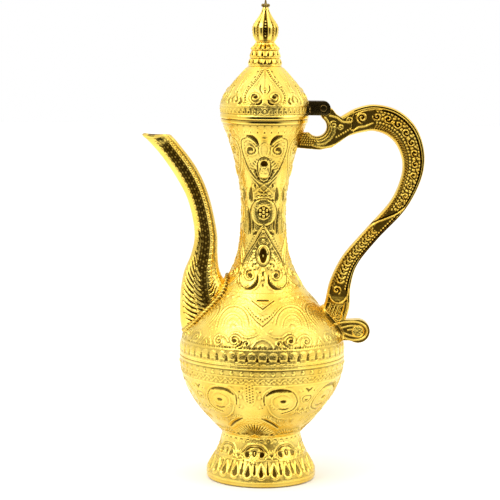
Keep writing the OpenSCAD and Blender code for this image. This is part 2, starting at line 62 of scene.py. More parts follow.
SHADE_START = 0.05  # how much of that is taken off before the painted shade shows
WIDE_SHARE = 0.75  # how much a wide recess counts beside a narrow one in the painted shade
PIT_SHADE_PER_MM = 0.85  # how fast the painted shade deepens with the depth of a cut
PIT_START = 0.3  # how much of that is taken off before it shows
LOG = logging.getLogger("coffee_pot")

Point = tuple[float, float]
Points = Sequence[Point]
Socket = bpy.types.NodeSocket
Input = float | tuple[float, ...] | Socket
Pair = tuple[Input, Input]


class Body(Enum):
    """The two bodies of the pot that move against each other."""

    POT = "pot"
    LID = "lid"


# ---- Small tools ---------------------------------------------------------------------------------


def select_only(piece: bpy.types.Object) -> None:
    """Makes one piece the only selected and the active object.

    Args:
        piece: The mesh.
    """
    bpy.ops.object.select_all(action="DESELECT")
    piece.select_set(True)
    bpy.context.view_layer.objects.active = piece


@contextmanager
def edit_mode(piece: bpy.types.Object) -> Iterator[None]:
    """Opens a piece in edit mode with all of it selected, and closes it after the block.

    Args:
        piece: The mesh to edit.
    """
    select_only(piece)
    bpy.ops.object.mode_set(mode="EDIT")
    bpy.ops.mesh.select_all(action="SELECT")
    yield
    bpy.ops.object.mode_set(mode="OBJECT")


def close_up(merge_mm: float) -> None:
    """Merges vertices and turns the faces outward, in edit mode.

    Args:
        merge_mm: Vertices closer than this become one, in millimetres.
    """
    bpy.ops.mesh.select_all(action="SELECT")
    bpy.ops.mesh.remove_doubles(threshold=merge_mm * MM)
    bpy.ops.mesh.normals_make_consistent(inside=False)


def apply_modifier(piece: bpy.types.Object, name: str, kind: str, **settings: object) -> None:
    """Adds a modifier to the active piece and applies it.

    Args:
        piece: The mesh.
        name: The modifier's name.
        kind: Its type.
        settings: Its properties by name.
    """
    modifier = piece.modifiers.new(name, kind)
    for key, value in settings.items():
        setattr(modifier, key, value)
    bpy.ops.object.modifier_apply(modifier=modifier.name)


def smooth_shading(piece: bpy.types.Object, angle_deg: float = 50.0) -> None:
    """Shades a piece smooth, with sharp edges past an angle.

    Args:
        piece: The mesh to shade.
        angle_deg: The smallest angle between faces that stays sharp.
    """
    select_only(piece)
    bpy.ops.object.shade_smooth_by_angle(angle=math.radians(angle_deg))


def coordinates(piece: bpy.types.Object) -> np.ndarray:
    """Returns the piece's vertices as rows of x, y and z in metres.

    Args:
        piece: The mesh.
    """
    flat = np.empty(len(piece.data.vertices) * 3)
    piece.data.vertices.foreach_get("co", flat)
    return flat.reshape(-1, 3)


def place_vertices(piece: bpy.types.Object, spots: np.ndarray) -> None:
    """Moves every vertex of a piece to the given rows of x, y and z in metres."""
    piece.data.vertices.foreach_set("co", spots.astype(np.float32).ravel())
    piece.data.update()


def vertex_values(piece: bpy.types.Object, name: str, values: np.ndarray) -> None:
    """Stores one number for each vertex, for the finish to read.

    Args:
        piece: The mesh that carries the values.
        name: The attribute's name.
        values: One value for each vertex.
    """
    layer = piece.data.attributes.new(name, "FLOAT", "POINT")
    layer.data.foreach_set("value", values.astype(np.float32).ravel())


def hand_over(
    piece: bpy.types.Object,
    body: Body,
    finish: bpy.types.Material,
    stands_for: Iterable[str] = (),
) -> bpy.types.Object:
    """Gives a finished piece its material and tells the frame what it is.

    Args:
        piece: The finished mesh.
        body: The body that it moves with.
        finish: The material.
        stands_for: The CAD nodes that it is shown instead of.

    Returns:
        The same piece.
    """
    piece.data.materials.clear()
    piece.data.materials.append(finish)
    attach(piece, body.value)
    if stands_for:
        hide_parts(*stands_for)
    LOG.info("%s: %d faces on %s", piece.name, len(piece.data.polygons), body.value)
    return piece


def bezier(points: Points, count: int) -> np.ndarray:
    """Samples a cubic curve.

    Args:
        points: Its four control points.
        count: How many points to return.

    Returns:
        Rows of the curve's points.
    """
    t = np.linspace(0, 1, count)[:, None]
    a, b, c, d = (np.array(p, float) for p in points)
    return (1 - t) ** 3 * a + 3 * (1 - t) ** 2 * t * b + 3 * (1 - t) * t**2 * c + t**3 * d


def smooth(points: Sequence[Sequence[float]], per: int = 6) -> np.ndarray:
    """Runs a Catmull-Rom spline through points.

    Args:
        points: The points, of any number of coordinates.
        per: Steps for each span.

    Returns:
        Rows of the spline's points, ends included.
    """
    p = np.array(points, float)
    p = np.vstack([p[0], p, p[-1]])
    t = np.arange(per)[:, None] / per
    rows = []
    for a, b, c, d in zip(p[:-3], p[1:-2], p[2:-1], p[3:]):
        cubic = t**3 * (3 * b - a - 3 * c + d)
        rows.append(0.5 * (2 * b + t * (c - a) + t**2 * (2 * a - 5 * b + 4 * c - d) + cubic))
    rows.append(p[-1:])
    return np.vstack(rows)


def lengths(points: np.ndarray) -> np.ndarray:
    """Returns each point's distance from the first along a polyline."""
    return np.concatenate([[0], np.cumsum(np.linalg.norm(np.diff(points, axis=0), axis=1))])


def even(points: np.ndarray, pitch: float) -> np.ndarray:
    """Spaces points evenly along a polyline.

    Args:
        points: The polyline.
        pitch: The wanted distance between points.

    Returns:
        Rows of evenly spaced points, ends included.
    """
    run = lengths(points)
    spots = np.linspace(0, run[-1], max(2, round(run[-1] / pitch) + 1))
    return np.stack([np.interp(spots, run, column) for column in points.T], axis=1)


def beside(points: np.ndarray, by: float) -> np.ndarray:
    """Moves a line sideways.

    Args:
        points: The line.
        by: The distance to the left of the way it runs.

    Returns:
        The moved line.
    """
    run = np.gradient(points[:, :2], axis=0)
    run /= np.linalg.norm(run, axis=1)[:, None] + 1e-12
    return points + by * np.stack([-run[:, 1], run[:, 0]], axis=1)


def blurred(heights: np.ndarray, reach: int, wraps: bool) -> np.ndarray:
    """Averages a grid over its neighbours, twice over a box.

    Args:
        heights: The grid, along its rows and round its columns.
        reach: How many neighbours each way.
        wraps: Whether the last column meets the first.

    Returns:
        The averaged grid.
    """
    down, round_it = heights.shape
    size = 2 * reach + 1
    out = heights
    for _ in range(2):
        rows = np.pad(out, ((reach, reach), (0, 0)), mode="edge")
        out = sum(rows[i : i + down] for i in range(size)) / size
        columns = np.pad(out, ((0, 0), (reach, reach)), mode="wrap" if wraps else "edge")
        out = sum(columns[:, i : i + round_it] for i in range(size)) / size
    return out


# ---- Chased relief -------------------------------------------------------------------------------


class Relief:
    """Heights drawn on a surface, like a chaser's work on a casting.

    Positions are millimetres: u across the surface from a motif's middle line, and v along it.
    Positive amounts raise a stroke and negative amounts sink it.
    """

    def __init__(self, u: np.ndarray, v: np.ndarray,
                 level: Callable[[np.ndarray], np.ndarray]) -> None:
        """Starts flat.

        Args:
            u: Distance across, for each point of the surface.
            v: Distance along, for each point of the surface.
            level: Turns the second coordinate of a motif's points into v.
        """
        self.u, self.v, self.level = u, v, level
        self.h = np.zeros(np.broadcast(u, v).shape)

    def _put(self, where: tuple, share: np.ndarray, amount: float) -> None:
        """Applies a rounded stroke to some points of the surface.

        Args:
            where: The indices of the points.
            share: For each of them 0 on the stroke's middle, 1 at its edge and more beyond it.
            amount: The stroke's height, or its depth when negative.
        """
        bump = abs(amount) * np.sqrt(np.clip(1 - share**2, 0, 1))
        lies = self.h[where]
        if amount > 0:
            drawn = np.maximum(lies, bump)
        else:
            kept = CUT_KEEPS + (1 - CUT_KEEPS) * np.clip(share, 0, 1) ** 4
            drawn = np.minimum(lies, lies * kept - bump)
        self.h[where] = np.where(share < 1, drawn, lies)

    def _spread(self, share: np.ndarray, amount: float) -> None:
        """Applies a stroke whose share is given for every point of the surface."""
        where = np.nonzero(share < 1)
        self._put(where, share[where], amount)

    def _window(self, low: np.ndarray, high: np.ndarray) -> tuple:
        """Returns the indices of the surface's points inside a box."""
        inside = (self.u >= low[0]) & (self.u <= high[0]) & (self.v >= low[1]) & (self.v <= high[1])
        return np.nonzero(inside)

    def placed(self, points: Points) -> np.ndarray:
        """Returns a motif's points with their second coordinate turned into v."""
        spots = np.array(points, float)
        return np.stack([spots[:, 0], self.level(spots[:, 1])], axis=1)

    def line(self, spots: np.ndarray, width: float, amount: float, taper: float = 0.0) -> None:
        """Draws a stroke along placed points.

        Args:
            spots: The stroke's points in u and v.
            width: Its width.
            amount: Its height, or its depth when negative.
            taper: How much of the width is lost towards both ends, from 0 to 1.
        """
        where = self._window(spots.min(0) - width, spots.max(0) + width)
        if not len(where[0]):
            return
        u, v = self.u[where], self.v[where]
        best = np.full(u.shape, OUTSIDE)
        n = len(spots) - 1
        for i, (a, b) in enumerate(zip(spots[:-1], spots[1:])):
            d = b - a
            t = np.clip(((u - a[0]) * d[0] + (v - a[1]) * d[1]) / (d @ d + 1e-9), 0, 1)
            far = np.hypot(u - a[0] - t * d[0], v - a[1] - t * d[1])
            half = width / 2 * (1 - taper * np.abs(2 * (i + t) / n - 1) ** 2)
            best = np.minimum(best, far / np.maximum(half, 0.05))
        self._put(where, best, amount)

    def stroke(self, points: Points, width: float, amount: float, taper: float = 0.0) -> np.ndarray:
        """Draws a smooth stroke.

        Args:
            points: The motif's points.
            width: The width of the stroke.
            amount: Its height, or its depth when negative.
            taper: How much of the width is lost towards both ends, from 0 to 1.

        Returns:
            Its placed line.
        """
        spots = smooth(self.placed(points))
        self.line(spots, width, amount, taper)
        return spots

    def double(self, points: Points, width: float, amount: float, apart: float) -> None:
        """Draws two parallel strokes with a sunk line between them.

        Args:
            points: The first stroke's points.
            width: The width of each.
            amount: Their height.
            apart: From the first to the second, to the left of the way it runs.
        """
        first = self.stroke(points, width, amount)
        self.line(beside(first, apart), 0.8 * width, 0.8 * amount)
        self.line(beside(first, apart / 2), abs(apart) - 0.7 * width, -0.45 * amount)

    def dome(self, at: Point, across: float, along: float, amount: float,
             lean: float = 0.0) -> None:
        """Draws an oval boss or pit.

        Args:
            at: Its middle, as a motif's point.
            across: Its size in u.
            along: Its size in v.
            amount: Its height, or its depth when negative.
            lean: Its turn in degrees, anticlockwise.
        """
        centre = self.placed([at])[0]
        reach = max(across, along) / 2
        where = self._window(centre - reach, centre + reach)
        du, dv = self.u[where] - centre[0], self.v[where] - centre[1]
        c, s = math.cos(math.radians(lean)), math.sin(math.radians(lean))
        share = np.hypot((du * c + dv * s) / (across / 2), (dv * c - du * s) / (along / 2))
        self._put(where, share, amount)

    def ring(self, at: Point, radius: float, width: float, amount: float,
             tall: float = 1.0) -> None:
        """Draws a ring.

        Args:
            at: Its middle, as a motif's point.
            radius: Its radius in u.
            width: The stroke's width.
            amount: The stroke's height, or its depth when negative.
            tall: Its radius in v as a share of its radius in u.
        """
        turn = np.linspace(0, 2 * math.pi, 25)
        way = np.stack([np.cos(turn), tall * np.sin(turn)], axis=1)
        self.line(self.placed([at])[0] + radius * way, width, amount)

    def curl(
        self,
        at: Point,
        radius: float,
        start: float,
        turns: float,
        width: float,
        amount: float,
    ) -> None:
        """Draws a spiral that winds inward to a small boss.

        Args:
            at: Its eye, as a motif's point.
            radius: Its outer radius.
            start: The angle where it starts, in degrees.
            turns: How many turns it makes, negative for clockwise.
            width: The stroke's width at the outside.
            amount: The stroke's height.
        """
        centre = self.placed([at])[0]
        t = np.linspace(0, 1, max(8, round(abs(turns) * 18)))
        turn = math.radians(start) + 2 * math.pi * turns * t
        r = radius * (1 - 0.82 * t)
        spots = centre + np.stack([r * np.cos(turn), r * np.sin(turn)], axis=1)
        self.line(beside(spots, math.copysign(0.75 * width, turns)), 0.7 * width, -0.5 * amount)
        self.line(spots, width, amount, 0.35)

    def beads(self, spots: np.ndarray, pitch: float, size: float, amount: float) -> None:
        """Draws round beads, or pits, at even steps.

        Args:
            spots: The placed line that they follow.
            pitch: The distance between them.
            size: Their diameter.
            amount: Their height, or their depth when negative.
        """
        for u, v in even(spots, pitch):
            where = self._window(np.array([u, v]) - size / 2, np.array([u, v]) + size / 2)
            share = np.hypot(self.u[where] - u, self.v[where] - v) / (size / 2)
            self._put(where, share, amount)

    def leaf(self, root: Point, tip: Point, width: float, amount: float) -> None:
        """Draws a pointed leaf with a sunk vein.

        Args:
            root: Where it starts, as a motif's point.
            tip: Where it ends.
            width: Its widest.
            amount: Its height.
        """
        spots = even(self.placed([root, tip]), 1.0)
        self.line(spots, width, amount, 0.95)
        self.line(spots, 0.25 * width, -0.4 * amount, 0.9)

    def fan(
        self,
        at: Point,
        inner: float,
        outer: float,
        spread: tuple[float, float],
        count: int,
        width: float,
        amount: float,
    ) -> None:
        """Draws rays that spread from one point.

        Args:
            at: The point that they spread from.
            inner: The distance where each ray starts.
            outer: The distance where it ends.
            spread: The angles of the first and the last ray, in degrees.
            count: How many rays.
            width: The width of each.
            amount: The height of each.
        """
        centre = self.placed([at])[0]
        for turn in np.radians(np.linspace(*spread, count)):
            way = np.array([math.cos(turn), math.sin(turn)])
            self.line(even(np.array([centre + inner * way, centre + outer * way]), 1.0), width,
                      amount, 0.9)


class TurnedRelief(Relief):
    """Relief on the outside of a turned piece, repeated round it and mirrored in each repeat."""

    def __init__(self, outline: np.ndarray, steps: int, folds: int, turn_deg: float = 0.0) -> None:
        """Measures the surface.

        Args:
            outline: Radius and height of each row of the outside, in millimetres, upward.
            steps: How many columns go round it.
            folds: How many times the motif repeats.
            turn_deg: The motif's turn about the axis from the front, in degrees.
        """
        self.radius, self.z = outline[:, 0][:, None], outline[:, 1]
        self.run = lengths(outline)
        self.angle = 2 * math.pi * np.arange(steps) / steps
        across = self.around(folds, turn_deg)
        super().__init__(across, np.repeat(self.run[:, None], steps, axis=1), self._run_at)

    def _run_at(self, z: np.ndarray | float) -> np.ndarray:
        """Returns the distance along the outline at each height."""
        return np.interp(z, self.z, self.run)

    def height(self) -> np.ndarray:
        """Returns the height of every point above the pot's base, in millimetres."""
        return np.repeat(self.z[:, None], self.h.shape[1], axis=1)

    def around(self, count: int, turn_deg: float = 0.0) -> np.ndarray:
        """Measures how far each point is from the nearest of some even repeats.

        Args:
            count: How many repeats go round the piece.
            turn_deg: The turn of the first from the front, in degrees.

        Returns:
            The distance across in millimetres.
        """
        cell = 2 * math.pi / count
        away = (self.angle - FRONT - math.radians(turn_deg) + cell / 2) % cell - cell / 2
        return np.abs(away)[None, :] * self.radius

    def band(self, low: float, high: float, proud: float = 0.12) -> None:
        """Turns a plain upright band.

        Args:
            low: The height where it starts.
            high: The height where it ends.
            proud: How far it stands out of the surface.
        """
        radius = self.radius[:, 0]
        widest = max(np.interp([low, high], self.z, radius)) + proud
        share = np.clip(np.minimum(self.z - low, high - self.z) / 0.4 + 0.5, 0, 1)
        lift = (widest - radius) * share / RELIEF_SHARE
        self.h[share > 0] = lift[share > 0, None]

    def hoop(self, z: float, width: float, amount: float) -> None:
        """Draws a plain ring right round the piece at a height."""
        self._spread(np.abs(self.v - self._run_at(z)) / (width / 2), amount)

    def studs(
        self, count: int, z: float, across: float, along: float, amount: float, turn: float = 0.0
    ) -> None:
        """Draws a row of even bosses or pits right round the piece.

        Args:
            count: How many.
            z: The height of their middles.
            across: The size of each round the piece.
            along: The size of each along the outline.
            amount: Their height, or depth when negative.
            turn: The turn of the whole row, in degrees.
        """
        away = self.around(count, turn) / (across / 2)
        self._spread(np.hypot(away, (self.v - self._run_at(z)) / (along / 2)), amount)

    def gadroons(self, count: int, low: float, high: float, gap: float, amount: float) -> None:
        """Draws a row of upright lobes with round tops.

        Args:
            count: How many.
            low: The height where they start.
            high: The height of their tops.
            gap: The distance between two of them.
            amount: Their height.
        """
        half = math.pi * self.radius / count - gap / 2
        top = self._run_at(high) - half
        share = np.hypot(self.around(count), np.maximum(0, self.v - top)) / half
        self._spread(np.where(self.v < self._run_at(low), OUTSIDE, share), amount)

    def drops(
        self, count: int, low: float, high: float, width: float, amount: float, turn: float = 0.0
    ) -> None:
        """Draws a row of upright drops that are wide below and pointed above.

        Args:
            count: How many.
            low: The height of their lowest points.
            high: The height of their tips.
            width: The widest of each.
            amount: Their height, or depth when negative.
            turn: The turn of the whole row, in degrees.
        """
        foot, tip = self._run_at(np.array([low, high]))
        centre = foot + width / 2
        rise = np.clip((self.v - centre) / (tip - centre), 0, 1)
        half = width / 2 * (1 - rise) ** 0.8 + 1e-6
        below = np.minimum(0, self.v - centre) / (width / 2)
        share = np.hypot(self.around(count, turn) / half, below)
        self._spread(np.where(self.v > tip, OUTSIDE, share), amount)


def hollowness(heights: np.ndarray, reach: int, wraps: bool = True) -> np.ndarray:
    """Says how far each point lies below the work around it, as the painted shade of the recesses.

    Args:
        heights: The relief's grid, in millimetres.
        reach: The neighbourhood, in grid steps.
        wraps: Whether the grid closes on itself.

    Returns:
        From 0 on raised work to 1 in the deepest recesses.
    """
    near = blurred(heights, reach, wraps) - heights
    wide = blurred(heights, 3 * reach, wraps) - heights
    around = SHADE_PER_MM * np.maximum(near, WIDE_SHARE * wide) - SHADE_START
    pits = -PIT_SHADE_PER_MM * heights - PIT_START
    return np.clip(np.maximum(around, pits), 0, 1)


# ---- Turned and swept meshes ---------------------------------------------------------------------


@dataclass
class Turned:
    """A piece turned on a lathe: an outside that may carry relief, and a plain inside.

    Attributes:
        name: The piece's name.
        outside: Radius and height of the outer rows in millimetres, upward.
        inside: Radius and height of the rest of the line, from the outside's top to its bottom.
        steps: How many columns go round it.
        polished: The two heights between which the outside is rubbed smooth.
        shade_side_fade: How much the painted shade in the recesses fades towards the spout's and
            the handle's sides.
    """

    name: str
    outside: np.ndarray
    inside: np.ndarray
    steps: int
    polished: tuple[float, float] = (0.0, 0.0)
    shade_side_fade: float = 0.6

    def build(self, heights: np.ndarray, reach: int = 2) -> bpy.types.Object:
        """Spins the outline and raises the relief.

        Args:
            heights: Relief of each outer row and column in millimetres.
            reach: Neighbourhood for the recesses, in grid steps.

        Returns:
            The finished mesh.
        """
        piece = self._spin(np.vstack([self.outside, self.inside, self.outside[:1]]))
        spots = coordinates(piece)
        rows = np.empty(len(spots), np.int32)
        piece.data.attributes["row"].data.foreach_get("value", rows)
        piece.data.attributes.remove(piece.data.attributes["row"])
        outer = rows < len(self.outside)
        row, turn = rows[outer], np.arctan2(spots[outer, 1], spots[outer, 0])
        column = np.round(turn / (2 * math.pi) * self.steps).astype(int) % self.steps
        run = np.gradient(self.outside, axis=0)
        run /= np.linalg.norm(run, axis=1)[:, None]
        raised = RELIEF_SHARE * heights[row, column] * MM
        spots[outer, 0] += raised * run[row, 1] * np.cos(turn)
        spots[outer, 1] += raised * run[row, 1] * np.sin(turn)
        spots[outer, 2] -= raised * run[row, 0]
        place_vertices(piece, spots)
        # Painted shade: the recesses are darkened, less towards the spout's and the handle's sides.
        hollow = hollowness(heights, reach)[row, column] * (1 - self.shade_side_fade * np.cos(turn) ** 2)
        z, (low, high) = self.outside[:, 1], self.polished
        polish = np.clip(np.minimum(z - low, high - z) / 0.3 + 0.5, 0, 1)[row]
        for name, values in (("hollow", hollow), ("polish", polish)):
            whole = np.zeros(len(spots))
            whole[outer] = values
            vertex_values(piece, name, whole)
        smooth_shading(piece, 60)
        return piece

    def _spin(self, line: np.ndarray) -> bpy.types.Object:
        """Draws the outline by extruding one vertex, and spins it into a closed piece.

        Args:
            line: Radius and height of every row in millimetres, back to its start.

        Returns:
            The mesh, with each vertex's row in the attribute "row".
        """
        bpy.ops.object.select_all(action="DESELECT")
        bpy.ops.mesh.primitive_plane_add(size=MM, location=(0, 0, 0))
        piece = bpy.context.object
        piece.name = piece.data.name = self.name
        with edit_mode(piece):
            bpy.ops.mesh.merge(type="CENTER")
            bpy.ops.transform.translate(value=(line[0][0] * MM, 0, line[0][1] * MM))
            for out, up in np.diff(line, axis=0) * MM:
                step = {"value": (out, 0, up)}
                bpy.ops.mesh.extrude_region_move(TRANSFORM_OT_translate=step)
        rows = piece.data.attributes.new("row", "INT", "POINT")
        rows.data.foreach_set("value", np.arange(len(line)) % (len(line) - 1))
        apply_modifier(
            piece, "Turned", "SCREW", steps=self.steps, render_steps=self.steps,
            use_merge_vertices=True, merge_threshold=0.01 * MM
        )
        with edit_mode(piece):
            close_up(0.01)
        return piece


def swept_grid(name: str, grid: np.ndarray) -> bpy.types.Object:
    """Adds a grid and lays its vertices on a swept surface.

    Args:
        name: The piece's name.
        grid: x, y and z in millimetres for each row and column.

    Returns:
        The mesh, vertex by vertex across and then along.
    """
    rows, columns, _ = grid.shape
    bpy.ops.object.select_all(action="DESELECT")
    bpy.ops.mesh.primitive_grid_add(x_subdivisions=columns - 1, y_subdivisions=rows - 1, size=MM)
    piece = bpy.context.object
    piece.name = piece.data.name = name
    place_vertices(piece, grid.reshape(-1, 3) * MM)
    return piece


def node_copy(node: str, name: str) -> bpy.types.Object:
    """Copies a CAD node's mesh as a new piece.

    Args:
        node: The CAD node.
        name: The new piece's name.

    Returns:
        The copy, selected, with its doubles merged.
    """
    bpy.ops.object.select_all(action="DESELECT")
    piece = bpy.data.objects.new(name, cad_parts[node].data.copy())
    piece.data.name = name
    bpy.context.scene.collection.objects.link(piece)
    with edit_mode(piece):
        bpy.ops.mesh.remove_doubles(threshold=0.005 * MM)
        bpy.ops.mesh.customdata_custom_splitnormals_clear()
    return piece


def worn_skin(piece: bpy.types.Object, voxel_mm: float, rounds: int) -> None:
    """Remeshes a piece to one skin and wears its edges round.

    Args:
        piece: The mesh.
        voxel_mm: The pitch of the skin in millimetres.
        rounds: How often it is smoothed.
    """
    apply_modifier(
        piece, "One skin", "REMESH", mode="VOXEL", voxel_size=voxel_mm * MM, use_smooth_shade=True
    )
    apply_modifier(piece, "Worn edges", "SMOOTH", factor=0.5, iterations=rounds)


@dataclass(frozen=True)
class Softened:
    """A copy of a CAD node with rounded edges, shown instead of it.

    Attributes:
        node: The CAD node.
        name: The new piece's name.
        width_mm: The width of the rounding in millimetres.
        body: The body that it moves with.
        slot: The record's material slot; not used.
        segments: The steps of the rounding.
    """

    node: str
    name: str
    width_mm: float
    body: Body
    slot: str
    segments: int = 3

    def build(self, finish: bpy.types.Material) -> None:
        """Builds the copy and hands it over.

        Args:
            finish: Its material.
        """
        piece = node_copy(self.node, self.name)
        with edit_mode(piece):
            bpy.ops.mesh.dissolve_limited(angle_limit=math.radians(1))
        apply_modifier(
            piece, "Rounded edges", "BEVEL", width=self.width_mm * MM, segments=self.segments,
            limit_method="ANGLE", angle_limit=math.radians(35), harden_normals=False
        )
        smooth_shading(piece, 40)
        hand_over(piece, self.body, finish, [self.node])


# ---- Finishes ------------------------------------------------------------------------------------


def linear(code: str) -> tuple[float, float, float, float]:
    """Turns a screen colour into the linear one that shaders take.

    Args:
        code: The colour as six hexadecimal digits.

    Returns:
        Linear red, green and blue, and full opacity.
    """
    parts = [int(code[i : i + 2], 16) / 255 for i in (0, 2, 4)]
    low = [p / 12.92 if p <= 0.04045 else ((p + 0.055) / 1.055) ** 2.4 for p in parts]
    return (low[0], low[1], low[2], 1.0)


class Graph:
    """A node tree under construction. An input is a value or another node's output."""

    def __init__(self, tree: bpy.types.NodeTree) -> None:
        """Starts from an empty tree."""
        tree.nodes.clear()
        self.tree = tree

    def add(self, kind: str, inputs: dict, out: int | str = 0, **settings: object) -> Socket:
        """Adds one node.

        Args:
            kind: The node's type, after "ShaderNode".
            inputs: The inputs, by name or index.
            out: The name or index of the output that is wanted.
            settings: The node's properties by name.

        Returns:
            That output.
        """
        node = self.tree.nodes.new("ShaderNode" + kind)
        for key, value in settings.items():
            setattr(node, key, value)
        for key, value in inputs.items():
            if isinstance(value, Socket):
                self.tree.links.new(value, node.inputs[key])
            else:
                node.inputs[key].default_value = value
        return node.outputs[out]

    def noise(self, spot: Socket, size: float, detail: float = 2.0) -> Socket:
        """Returns noise of a size in metres."""
        return self.add("TexNoise", {"Vector": spot, "Scale": 1 / size, "Detail": detail})

    def ramp(self, value: Input, source: Pair, target: Pair, smooth: bool = False) -> Socket:
        """Maps a value from one range to another.

        Args:
            value: The value.
            source: The ends of its own range.
            target: What they become.
            smooth: Whether it eases in and out.

        Returns:
            The mapped value.
        """
        ends = dict(zip(("From Min", "From Max", "To Min", "To Max"), source + target))
        way = "SMOOTHSTEP" if smooth else "LINEAR"
        return self.add("MapRange", {"Value": value, **ends}, interpolation_type=way)

    def mix(self, share: Input, first: Input, second: Input) -> Socket:
        """Returns a mix of two colours, whose sockets on the mixing node are 6 and 7."""
        return self.add("Mix", {0: share, 6: first, 7: second}, 2, data_type="RGBA")

    def math(self, operation: str, *values: Input, **settings: object) -> Socket:
        """Returns the result of an operation on values."""
        return self.add("Math", dict(enumerate(values)), operation=operation, **settings)

    def close(self, surface: Socket, kind: str = "OutputMaterial") -> None:
        """Joins the surface to the tree's output."""
        self.tree.links.new(surface, self.tree.nodes.new("ShaderNode" + kind).inputs["Surface"])


def new_material(name: str) -> tuple[bpy.types.Material, Graph, Socket]:
    """Returns a new material, its empty tree and each point's place on the piece.

    Args:
        name: The material's name.
    """
    material = bpy.data.materials.new(name)
    material.use_nodes = True
    graph = Graph(material.node_tree)
    return material, graph, graph.add("TexCoord", {}, "Object")


@dataclass(frozen=True)
class GoldPlate:
    """Polished gold plate on a chased zinc casting.

    A true metal, nearly mirror bright on raised work. The recesses are darkened towards a brown by
    painted shade and are duller, and the ground between the motifs is stippled by the chaser's
    punches.

    Attributes:
        name: The material's name.
        bright: Colour of the raised and rubbed work.
        warm: Colour of the thinner, redder plate, in soft patches.
        recess: Colour of the painted shade in the deepest recesses.
        roughness: Roughness of the rubbed metal.
        stipple_mm: Spacing of the punch marks on the ground.
        stipple: Their depth as a share of their spacing.
        painted_shade: How strongly the painted shade darkens the recesses, from 0 to 1.
    """

    name: str
    bright: str = "FFE070"
    warm: str = "F7CE54"
    recess: str = "3A2300"
    roughness: float = 0.25
    stipple_mm: float = 1.5
    stipple: float = 0.12
    painted_shade: float = 1.0

    def make(self) -> bpy.types.Material:
        """Builds the material and returns it."""
        material, g, spot = new_material(self.name)
        patches = g.ramp(g.noise(spot, 18 * MM, 3.0), (0.38, 0.7), (0.0, 1.0))
        plate = g.mix(patches, linear(self.bright), linear(self.warm))
        # Painted shade: the recesses are mixed towards the dark shade colour.
        hollow = g.add("Attribute", {}, "Fac", attribute_name="hollow")
        painted_shade = g.math("MULTIPLY", hollow, self.painted_shade, use_clamp=True)
        colour = g.mix(painted_shade, plate, linear(self.recess))
        # Hairline wear from a polishing cloth, about a third of a millimetre apart.
        rub = g.noise(spot, 0.35 * MM, 4.0)
        dull = g.ramp(rub, (0.0, 1.0), (self.roughness - 0.05, self.roughness + 0.07))
        cast = g.math("MULTIPLY_ADD", painted_shade, 0.22, dull)
        # Edges that hands and cloths rub are mirror smooth, with no punch marks.
        rubbed = g.add("Attribute", {}, "Fac", attribute_name="polish")
        rough = g.ramp(rubbed, (0.0, 1.0), (cast, 0.1))
        punched = g.ramp(rubbed, (0.0, 1.0), (0.8, 0.0))
        pitch = self.stipple_mm * MM
        punches = g.add(
            "TexVoronoi", {"Vector": spot, "Scale": 1 / pitch, "Smoothness": 0.4}, "Distance",
            feature="SMOOTH_F1"
        )
        grain = g.math("MULTIPLY_ADD", rub, 0.12, punches)
        bump = g.add("Bump",
                     {"Height": grain, "Strength": punched, "Distance": self.stipple * pitch})
        metal = {"Base Color": colour, "Roughness": rough, "Normal": bump, "Metallic": 1.0}
        g.close(g.add("BsdfPrincipled", metal))
        return material


@dataclass(frozen=True)
class Steel:
    """Bright zinc-plated steel of bought fasteners, with fine turning marks."""

    name: str = "Zinc-plated steel"
    colour: str = "B9BBBD"

    def make(self) -> bpy.types.Material:
        """Builds the material and returns it."""
        material, g, spot = new_material(self.name)
        # A wave node of scale 0.314 has bands one unit apart, and the marks are 0.4 mm apart.
        bands = {"Vector": spot, "Scale": 0.314 / (0.4 * MM), "Distortion": 0.6}
        marks = g.add("TexWave", bands, "Fac", bands_direction="Z")
        rough = g.ramp(marks, (0.0, 1.0), (0.28, 0.4))
        metal = {"Base Color": linear(self.colour), "Roughness": rough, "Metallic": 1.0}
        g.close(g.add("BsdfPrincipled", metal))
        return material


@dataclass(frozen=True)
class Felt:
    """Pressed wool felt: matt, dark and faintly mottled, with a soft nap at its edge."""

    name: str = "Pressed wool felt"
    light: str = "3A342E"
    dark: str = "1C1916"

    def make(self) -> bpy.types.Material:
        """Builds the material and returns it."""
        material, g, spot = new_material(self.name)
        # Matted fibres clump about every 0.8 mm.
        clumps = g.noise(spot, 0.8 * MM, 6.0)
        colour = g.mix(clumps, linear(self.dark), linear(self.light))
        bump = g.add("Bump", {"Height": clumps, "Distance": 0.2 * MM})
        wool = {"Base Color": colour, "Normal": bump, "Roughness": 0.95, "Sheen Weight": 0.3}
        g.close(g.add("BsdfPrincipled", wool))
        return material


@dataclass(frozen=True)
class SealRubber:
    """Moulded silicone rubber of the washer under the foot bolt: matt and nearly black."""

    name: str = "Moulded silicone rubber"
    colour: str = "26262A"

    def make(self) -> bpy.types.Material:
        """Builds the material and returns it."""
        material, g, spot = new_material(self.name)
        # The mould's fine blasted grain, 0.3 mm.
        bump = g.add("Bump", {"Height": g.noise(spot, 0.3 * MM), "Distance": 0.05 * MM})
        rubber = {"Normal": bump, "Base Color": linear(self.colour), "Roughness": 0.6, "IOR": 1.41}
        g.close(g.add("BsdfPrincipled", rubber))
        return material


def gold(name: str, **looks: object) -> bpy.types.Material:
    """Declares a gold finish of the pot, which is made with the finishes."""
    return field(default_factory=GoldPlate(name, **looks).make)


